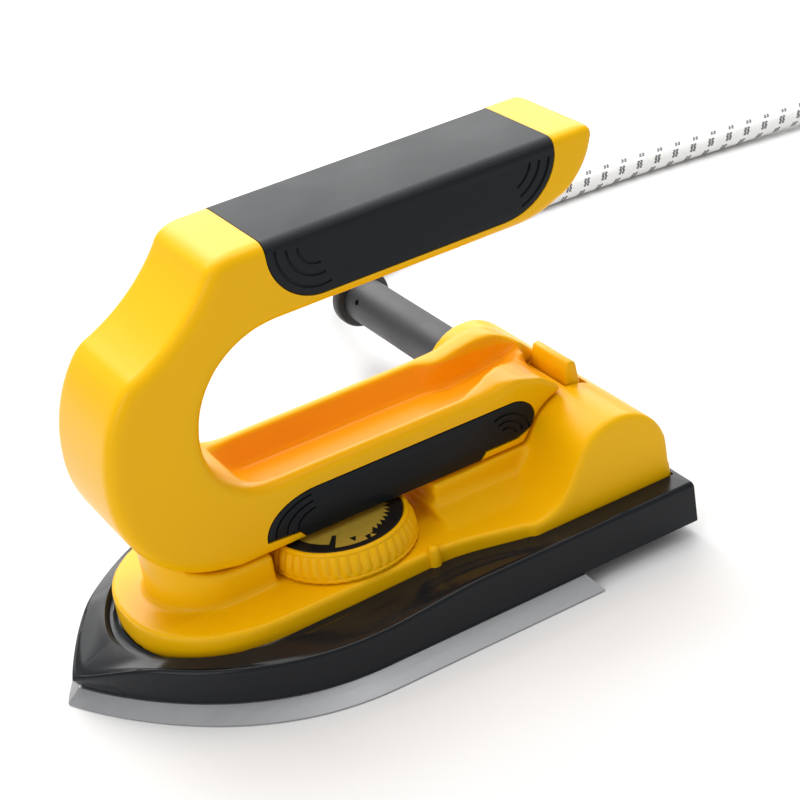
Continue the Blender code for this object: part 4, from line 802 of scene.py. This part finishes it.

# Painted shade: inside the trough the yellow is mixed to a deeper orange, standing for the light bounced
# round in the deep trough.
yellow_with_trough_shade = yellow_plastic("yellow_with_painted_trough_shade")
tree = yellow_with_trough_shade.node_tree
split = add_node(tree, "SeparateXYZ", Vector=object_place(tree))
between = link_nodes(tree, split.outputs[1], ("ABSOLUTE", None), ("LESS_THAN", TROUGH_HALF))
above = link_nodes(tree, split.outputs[2], ("GREATER_THAN", TROUGH_FLOOR))
below = link_nodes(tree, split.outputs[2], ("MULTIPLY", -1.0), ("ADD", TROUGH_RIM), ("MULTIPLY", 1600.0),
                   ("MAXIMUM", 0.0), ("MINIMUM", 1.0))
behind = link_nodes(tree, split.outputs[0], ("GREATER_THAN", TROUGH_FRONT))
ahead = link_nodes(tree, split.outputs[0], ("LESS_THAN", TROUGH_REAR))
inside = link_nodes(tree, between, ("MULTIPLY", above), ("MULTIPLY", below), ("MULTIPLY", behind),
                    ("MULTIPLY", ahead))
painted_trough_shade = add_node(tree, "MixRGB", Fac=inside, Color1=tree.nodes["colour"].outputs[0],
                Color2=(0.93, 0.385, 0.002, 1))
set_inputs(tree, tree.nodes["Principled BSDF"], Base_Color=painted_trough_shade.outputs[0])
surfaced(handle, yellow_with_trough_shade, 40)
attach(handle, "iron")
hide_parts("handle_body")


# ---- Handle cover ----
# A flush yellow panel let into the far side of the front limb and held by three small screws. It
# closes the moulding's hollow and has a fine bevel round its edge.

COVER_SCREWS = ((-33.2, 35.6), (-51.5, 60.0), (-33.5, 88.0))

cover_levels = [[(x, y, z) for x, z in offset_outline(limb_side(), inset)]
                for y, inset in ((14.7, -0.3), (16.7, -0.3), (16.9, -0.45), (HANDLE_HALF, -0.7))]
cover = finished("limb_cover", raised_skin(cover_levels), None)
holes = [peg("cover_hole", 2.9, 4.0, (x, HANDLE_HALF - 1.4, z), (0, 1, 0)) for x, z in COVER_SCREWS]
holes += [peg("shank_hole", 1.6, 8.0, (x, HANDLE_HALF - 6, z), (0, 1, 0)) for x, z in COVER_SCREWS]
shaped(cover, "DIFFERENCE", *holes)
surfaced(cover, yellow, 30)
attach(cover, "iron")
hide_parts("handle_cover")


# ---- Grip ----
# Soft black saddle moulded over the top bar: a broad flat top with rounded edges and two flanks,
# with three curved grooves at each lower corner. Its skin is satin and clouds a little, and its
# upward faces are painted lighter in cloudy patches as a painted sheen from the light above.

GRIP_SKIN = 1.8
EDGE_ROUND = 3.0
GROOVE_DEPTH = 0.45


def arc_cutter(name, cx, cz, rx, rz, start, end, width, side):
    """A curved bar that cuts a groove into the flank at y = side * HANDLE_HALF."""
    outer = arc(cx, cz, rx + width / 2, rz + width / 2, start, end, 18)
    inner = arc(cx, cz, rx - width / 2, rz - width / 2, end, start, 18)
    near, far = sorted((side * (HANDLE_HALF - GROOVE_DEPTH), side * (HANDLE_HALF + 2)))
    return pushed_form(name, outer + inner, "y", near, far)


levels = []
for turn in RIM_TURNS:
    a = math.radians(turn)
    top = HANDLE_TOP - EDGE_ROUND * (1 - math.sin(a))
    ring = offset_outline(grip_side(), -0.3 if turn == 0 else 0.0)
    levels.append((HANDLE_HALF - EDGE_ROUND * (1 - math.cos(a)),
                   [(x, top if z > HANDLE_TOP - 0.6 else z) for x, z in ring]))
grip = finished("grip_saddle", raised_skin(across_bar(levels)), None)
inside_bar = block_form("inside_bar", (GRIP_LOW.x - 5, GRIP_SKIN - HANDLE_HALF, HANDLE_TOP - 40),
                        (GRIP_HIGH.x + 5, HANDLE_HALF - GRIP_SKIN, HANDLE_TOP - GRIP_SKIN))
grooves = []
for side in (-1, 1):
    for number, radius in enumerate((10.9, 8.0, 5.1)):
        grooves.append(arc_cutter("front_groove", GRIP_LOW.x + GRIP_FRONT_R, GRIP_LOW.z + GRIP_FRONT_R,
                                  radius, radius, 172 + 3 * number, 282 - 4 * number, 0.75, side))
    for number, share in enumerate((0.90, 0.74, 0.58)):
        grooves.append(arc_cutter("rear_groove", GRIP_HIGH.x - GRIP_REAR_LONG, HANDLE_TOP - 2,
                                  GRIP_REAR_LONG * share, GRIP_REAR_DEEP * share, -68 + 5 * number,
                                  -10 - 2 * number, 0.8, side))
shaped(grip, "DIFFERENCE", inside_bar, *grooves)
rubber = moulded_finish("satin_black_rubber", ((0.0085, 0.0105, 0.0135), (0.0125, 0.0145, 0.0175)), 30,
                        (0.46, 0.60), (1400, 0.00003), specular=0.16)
tree = rubber.node_tree
# Painted sheen: faces that look upward are mixed towards a lighter grey in cloudy patches, standing for the
# light that gleams on the grip's top.
facing = tree.nodes.new("ShaderNodeNewGeometry")
split = add_node(tree, "SeparateXYZ", Vector=facing.outputs["True Normal"])
sheen_clouds = add_node(tree, "TexNoise", Vector=object_place(tree), Scale=26, Detail=4.0)
upward_sheen_share = link_nodes(tree, split.outputs[2], ("SUBTRACT", 0.35), ("DIVIDE", 0.6), ("MAXIMUM", 0.0),
                     ("MINIMUM", 1.0))
sheen_patches = link_nodes(tree, sheen_clouds.outputs["Fac"], ("SUBTRACT", 0.3), ("MULTIPLY", 1.1), ("ADD", 0.35),
                     ("MULTIPLY", upward_sheen_share))
painted_top_sheen = add_node(tree, "MixRGB", Fac=sheen_patches, Color1=tree.nodes["colour"].outputs[0],
                Color2=(0.052, 0.054, 0.055, 1))
set_inputs(tree, tree.nodes["Principled BSDF"], Base_Color=painted_top_sheen.outputs[0])
surfaced(grip, rubber, 35)
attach(grip, "iron")
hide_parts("grip")


# ---- Side panels ----
# A black inlay along each side of the lower bar, snapped into a recess, with three curved grooves
# at each end and a lower edge that steps up to leave a ledge of the yellow moulding showing.

panel_black = moulded_finish("satin_black_panel", ((0.0060, 0.0078, 0.0105), (0.0085, 0.0105, 0.0135)), 40,
                             (0.34, 0.44), (1100, 0.00002), specular=0.16)
for side, name in ((-1, "left"), (1, "right")):
    rings = [[(x, side * y, z) for x, z in offset_outline(panel_side(), inset)]
             for y, inset in ((HANDLE_HALF, -0.45), (HANDLE_HALF - 0.15, -0.12), (HANDLE_HALF - 0.45, 0.0),
                              (HANDLE_HALF - 1.5, 0.0))]
    panel = finished("inlay_" + name, raised_skin(rings), None)
    grooves = []
    for number, share in enumerate((0.86, 0.66, 0.46)):
        grooves.append(arc_cutter("front_groove", PANEL_LOW.x + PANEL_FRONT_LONG,
                                  PANEL_HIGH.z - PANEL_FRONT_DEEP, PANEL_FRONT_LONG * share,
                                  PANEL_FRONT_DEEP * share, 178, 98 + 2 * number, 0.6, side))
    for number, radius in enumerate((6.7, 4.6, 2.6)):
        grooves.append(arc_cutter("rear_groove", PANEL_HIGH.x - 8.8, PANEL_HIGH.z - 8.6, radius,
                                  radius * 0.94, 2, 118, 0.7, side))
    shaped(panel, "DIFFERENCE", *grooves)
    surfaced(panel, panel_black, 32)
    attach(panel, "iron")
    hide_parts("side_panel_" + name)


# ---- Release tab ----
# An upright yellow thumb tab on a steel pin inside the barrel, just behind the handle's rear.

tab_profile = [(TAB_LOW.x + 0.2, TAB_LOW.z), (TAB_HIGH.x, TAB_LOW.z), (TAB_HIGH.x, TAB_LOW.z + 4.6),
               (TAB_HIGH.x - 0.8, TAB_HIGH.z - 1.2), (TAB_HIGH.x - 1.1, TAB_HIGH.z - 0.5),
               (TAB_HIGH.x - 1.8, TAB_HIGH.z), (TAB_HIGH.x - 2.9, TAB_HIGH.z),
               (TAB_HIGH.x - 3.5, TAB_HIGH.z - 0.5), (TAB_LOW.x, TAB_HIGH.z - 5.0)]
tab = pushed_form("thumb_tab", tab_profile, "y", TAB_LOW.y, TAB_HIGH.y)
edge = tab.modifiers.new("edge", "BEVEL")
edge.width = 0.55 * MM
edge.segments = 3
edge.limit_method = "ANGLE"
edge.angle_limit = math.radians(40)
bake(tab)
shaped(tab, "DIFFERENCE", peg("tab_bore", 1.3, 40, (TAB_LOW.x + 2.5, TAB_LOW.y - 10, 31.6), (0, 1, 0)))
surfaced(tab, yellow, 40)
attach(tab, "tab")
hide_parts("release_tab")


# ---- Heat dial ----
# A yellow knob with forty-four rounded ribs between a bright bead and a nicked foot, on a steel
# spindle. A printed card lies in its face: a black ring of heat marks round a dull gold middle.

DIAL_RIBS = 44
DIAL_HEIGHT = DIAL_HIGH.z - DIAL_LOW.z
RIB_DEPTH = 0.62
RIB_STEPS = 8
RING_INNER = 13.2
TOOTH_TURN = 8.5
TOOTH_DEPTH = 1.7

side_curve = [(17.55, 7.8), (17.9, 7.5), (18.05, 7.05), (17.95, 6.75), (18.25, 6.45), (18.6, 5.8),
              (18.95, 4.9), (19.2, 4.0), (19.38, 3.1), (19.48, 2.3), (19.5, 1.7), (19.3, 1.25),
              (19.25, 1.05), (19.58, 0.85), (19.6, 0.35), (19.35, 0.0)]
knob_profile = [(0, DIAL_HEIGHT - 0.9), (16.75, DIAL_HEIGHT - 0.9), (16.85, DIAL_HEIGHT - 0.25),
                (17.1, DIAL_HEIGHT)] + side_curve
knob_profile += [(17.2, 0), (16.2, DIAL_HEIGHT - 2.6), (5.2, DIAL_HEIGHT - 2.6), (5.2, 0.2), (3.3, 0.2),
                 (3.3, 6.4), (0, 6.4)]
bm = bmesh.new()
verts = [bm.verts.new((r, 0, h)) for r, h in knob_profile]
for a, b in zip(verts, verts[1:]):
    bm.edges.new((a, b))
bmesh.ops.spin(bm, geom=bm.verts[:] + bm.edges[:], cent=(0, 0, 0), axis=(0, 0, 1), angle=math.tau,
               steps=DIAL_RIBS * RIB_STEPS, use_merge=True)
for vert in bm.verts:
    radius = math.hypot(vert.co.x, vert.co.y)
    wave = 1 - abs(math.cos(math.atan2(vert.co.y, vert.co.x) * DIAL_RIBS / 2))
    if radius > 17.7:
        ribbed = eased(vert.co.z, 1.3, 1.8) * (1 - eased(vert.co.z, 6.0, 6.8))
        nicked = 0.35 * (1 - eased(vert.co.z, 0.4, 1.0))
        shrink = (radius - RIB_DEPTH * wave * max(ribbed, nicked)) / radius
        vert.co.x *= shrink
        vert.co.y *= shrink
bmesh.ops.translate(bm, vec=(DIAL_X, DIAL_Y, DIAL_LOW.z), verts=bm.verts)
knob = finished("ribbed_knob", bm, yellow, 50)
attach(knob, "dial")
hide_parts("dial_knob")


def dial_print():
    """Card of the dial: polar places from the spindle's axis pick the black ring and its marks."""
    mat, tree, shader = new_material("printed_dial_card")
    place = object_place(tree)
    split = add_node(tree, "SeparateXYZ", Vector=place)
    dx = link_nodes(tree, split.outputs[0], ("SUBTRACT", DIAL_X * MM), ("MULTIPLY", 1000.0))
    dy = link_nodes(tree, split.outputs[1], ("SUBTRACT", DIAL_Y * MM), ("MULTIPLY", 1000.0))
    square_y = link_nodes(tree, dy, ("MULTIPLY", dy))
    radius = link_nodes(tree, dx, ("MULTIPLY", dx), ("ADD", square_y), ("SQRT", None))
    angle = link_nodes(tree, dy, ("ARCTAN2", dx), ("MULTIPLY", 180 / math.pi))

    def between(socket, low, high):
        over = link_nodes(tree, socket, ("GREATER_THAN", low))
        return link_nodes(tree, socket, ("LESS_THAN", high), ("MULTIPLY", over))

    def pointer(middle, root, tip, half):
        """A triangle with its foot at radius root, pointing to radius tip."""
        tall = abs(tip - root)
        up = link_nodes(tree, radius, ("SUBTRACT", tip), ("ABSOLUTE", None), ("MULTIPLY", half / tall))
        aside = link_nodes(tree, angle, ("SUBTRACT", middle), ("ABSOLUTE", None),
                           ("MULTIPLY", 14 * math.pi / 180))
        thin = link_nodes(tree, up, ("SUBTRACT", aside), ("GREATER_THAN", 0.0))
        span = between(radius, min(root, tip), max(root, tip))
        return link_nodes(tree, thin, ("MULTIPLY", span))

    teeth = link_nodes(tree, angle, ("ADD", 180.0), ("DIVIDE", TOOTH_TURN), ("FRACT", None),
                       ("MULTIPLY", TOOTH_DEPTH))
    scale_zone = between(angle, -76.0, 60.0)
    tooth_depth = link_nodes(tree, teeth, ("MULTIPLY", scale_zone))
    rim = link_nodes(tree, tooth_depth, ("MULTIPLY", -1.0), ("ADD", RING_INNER))
    ring = link_nodes(tree, radius, ("GREATER_THAN", rim))
    off_zone = link_nodes(tree, between(angle, -121.0, -88.0), ("MULTIPLY", between(radius, 12.0, 14.9)))
    ring = link_nodes(tree, ring, ("SUBTRACT", off_zone), ("MAXIMUM", 0.0))
    bar = link_nodes(tree, between(angle, -128.0, -121.0), ("MULTIPLY", between(radius, 9.2, 16.7)))
    ring = link_nodes(tree, ring, ("MAXIMUM", bar), ("MAXIMUM", pointer(-100.0, 11.6, 13.9, 1.1)))
    light_mark = link_nodes(tree, pointer(-81.0, 14.9, 13.2, 0.8),
                            ("MAXIMUM", pointer(52.0, 14.9, 13.2, 0.8)))
    ring = link_nodes(tree, ring, ("SUBTRACT", light_mark), ("MAXIMUM", 0.0))

    speckle = add_node(tree, "TexNoise", Vector=place, Scale=900)
    gold = add_node(tree, "MixRGB", Fac=speckle.outputs["Fac"], Color1=(0.38, 0.26, 0.030, 1),
                    Color2=(0.46, 0.33, 0.045, 1))
    ink = add_node(tree, "MixRGB", Fac=ring, Color1=gold.outputs[0], Color2=(0.008, 0.008, 0.008, 1))
    set_inputs(tree, shader, Base_Color=ink.outputs[0], Roughness=0.42, Specular_IOR_Level=0.3)
    return mat


card = turned_form("printed_card", [(0, 0), (16.6, 0), (16.6, 0.35), (16.45, 0.5), (0, 0.5)],
                   (DIAL_X, DIAL_Y, DIAL_LOW.z + DIAL_HEIGHT - 0.6), (0, 0, 1), 96, dial_print(), 30)
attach(card, "dial")
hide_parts("dial_disc")


# ---- Cord sleeve ----
# A stiff black rubber tube that turns in the barrel's end, with a flange inside, a small dimple near
# its far end and a collar pressed on there. The lead runs through it.

SLEEVE_START = HOUSING_REAR_HALF - 5.2
SLEEVE_TIP = 100.2
sleeve_black = moulded_finish("matt_black_sleeve", ((0.016, 0.016, 0.0175), (0.026, 0.026, 0.028)), 55,
                              (0.42, 0.56), (1200, 0.00003), specular=0.45)
reach = SLEEVE_TIP - SLEEVE_START
tube_profile = [(4.3, 0), (9.4, 0), (9.6, 0.2), (9.6, 2.4), (9.4, 2.6), (7.1, 2.6), (7.0, 2.8),
                (7.0, reach - 0.3), (6.7, reach), (4.3, reach)]
sleeve = turned_form("sleeve_tube", tube_profile, (BARREL_X, SLEEVE_START, BARREL_Z), (0, 1, 0), 72)
dimple = peg("dimple", 0.95, 6.0, (BARREL_X - 8.5, SLEEVE_TIP - 7.2, BARREL_Z + 5.0), (0.85, 0, -0.5))
shaped(sleeve, "DIFFERENCE", dimple)
surfaced(sleeve, sleeve_black, 35)
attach(sleeve, "sleeve")
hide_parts("cord_sleeve")

collar_profile = [(4.3, 0.2), (4.5, 0), (8.2, 0), (8.9, 0.2), (9.25, 0.7), (9.3, 1.2), (9.3, 2.8), (9.2, 3.4),
                  (8.8, 3.8), (8.2, 4.0), (4.8, 4.0), (4.3, 3.7)]
collar = turned_form("sleeve_end_collar", collar_profile, (BARREL_X, SLEEVE_TIP + 0.3, BARREL_Z), (0, 1, 0),
                     72, sleeve_black, 35)
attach(collar, "sleeve")
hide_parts("sleeve_collar")


# ---- Plug ----
# The lead's moulded black plug: a block with a waist for the fingers, ribbed where it narrows to the
# lead. Its plated blades and earth pin are the working model's own.

PLUG_LOW, PLUG_HIGH = box_in_mm("plug_body")
PLUG_HALF_WIDE, PLUG_HALF_TALL, PLUG_CORNER, PLUG_Z = 15.0, 13.0, 4.0, 13.0
plug_middle = (PLUG_LOW + PLUG_HIGH) / 2
plug_levels = []
for away, wide, tall in (
        (0.0, 0.93, 0.92), (0.6, 0.985, 0.985), (1.4, 1.0, 1.0), (10.5, 1.0, 1.0), (12.0, 0.99, 0.99),
        (13.5, 0.93, 0.96), (16.0, 0.86, 0.92), (19.0, 0.80, 0.89), (22.0, 0.75, 0.87), (24.5, 0.70, 0.84),
        (26.0, 0.66, 0.82), (26.2, 0.60, 0.76), (27.6, 0.59, 0.75), (27.8, 0.64, 0.80), (29.2, 0.61, 0.78),
        (29.4, 0.54, 0.71), (30.8, 0.53, 0.70), (31.0, 0.57, 0.74), (32.4, 0.54, 0.71), (32.6, 0.48, 0.65),
        (34.0, 0.46, 0.63), (34.2, 0.48, 0.65), (35.6, 0.44, 0.62), (36.0, 0.40, 0.58)):
    bend = PLUG_CORNER * wide
    out, up = PLUG_HALF_WIDE * wide - bend, PLUG_HALF_TALL * tall - bend
    level = []
    for side_y, side_z, start in ((out, up, 0), (-out, up, 90), (-out, -up, 180), (out, -up, 270)):
        level += arc(side_y, side_z, bend, bend, start, start + 90, 8)
    plug_levels.append([(PLUG_LOW.x + away, plug_middle.y + a, PLUG_Z + b) for a, b in level])
plug = finished("moulded_plug", raised_skin(plug_levels), sleeve_black, 35)
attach(plug, "iron")
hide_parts("plug_body")


# ---- Parts inside, and small parts ----
# What the shells hide or half hide: the heater and its control, the terminals and wires, screws and
# pins. They keep the working model's own shapes and get the finish of what they are made of.

INNER_FINISHES = {
    "plated_steel": (
        (0.42, 0.42, 0.41), (0.54, 0.54, 0.53), 0.9, (0.30, 0.42),
        "pressure_plate thermostat_bracket contact_blade control_spindle earth_tag tab_pin element_pin_left "
        "element_pin_right handle_screw_front handle_screw_rear skirt_screw_1 skirt_screw_2 skirt_screw_3 "
        "housing_screw_left housing_screw_right clamp_screw_front clamp_screw_rear cover_screw_1 "
        "cover_screw_2 cover_screw_3"),
    "nickel_plate": (
        (0.60, 0.58, 0.54), (0.70, 0.68, 0.64), 1.0, (0.18, 0.28),
        "plug_blade_left plug_blade_right plug_earth_pin"),
    "heater_sheath": ((0.20, 0.19, 0.18), (0.34, 0.32, 0.30), 0.9, (0.42, 0.58), "heating_element"),
    "rolled_brass": (
        (0.58, 0.40, 0.13), (0.68, 0.49, 0.18), 1.0, (0.28, 0.40),
        "bimetal_strip control_bush terminal_screw_1 terminal_screw_2 terminal_screw_3"),
    "unglazed_ceramic": (
        (0.72, 0.70, 0.64), (0.84, 0.82, 0.77), 0.0, (0.60, 0.75), "thermostat_body terminal_block"),
    "woven_glass_sleeve": ((0.62, 0.59, 0.46), (0.80, 0.77, 0.65), 0.0, (0.75, 0.9), "thermal_fuse"),
    "brown_wire": ((0.20, 0.08, 0.03), (0.27, 0.11, 0.045), 0.0, (0.45, 0.6), "lead_live lead_control"),
    "blue_wire": ((0.04, 0.13, 0.44), (0.06, 0.18, 0.55), 0.0, (0.45, 0.6), "lead_neutral lead_heater"),
    "green_wire": ((0.12, 0.38, 0.06), (0.18, 0.50, 0.10), 0.0, (0.45, 0.6), "lead_earth lead_plate_earth"),
    "black_nylon": (
        (0.020, 0.020, 0.021), (0.034, 0.034, 0.036), 0.0, (0.40, 0.55), "sleeve_bush cord_clamp cord_tie"),
}


def refinished(node, finish):
    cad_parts[node].data.materials.clear()
    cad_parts[node].data.materials.append(finish)


for name, (dark, light, metallic, gloss, nodes) in INNER_FINISHES.items():
    inner_finish = moulded_finish(name, (dark, light), 140, gloss, (1500, 0.00002), metallic=metallic)
    for node in nodes.split():
        refinished(node, inner_finish)
refinished("rear_cover", gloss_black)

inner_route = [Vector((BARREL_X, y, BARREL_Z)) for y in (17.6, 40.0, 60.0, 80.0, 104.5)]
inner_lead = round_tube("lead_through_sleeve", inner_route, LEAD_R, LEAD_SIDES, braid)
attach(inner_lead, "iron")
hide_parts("lead_in_sleeve")
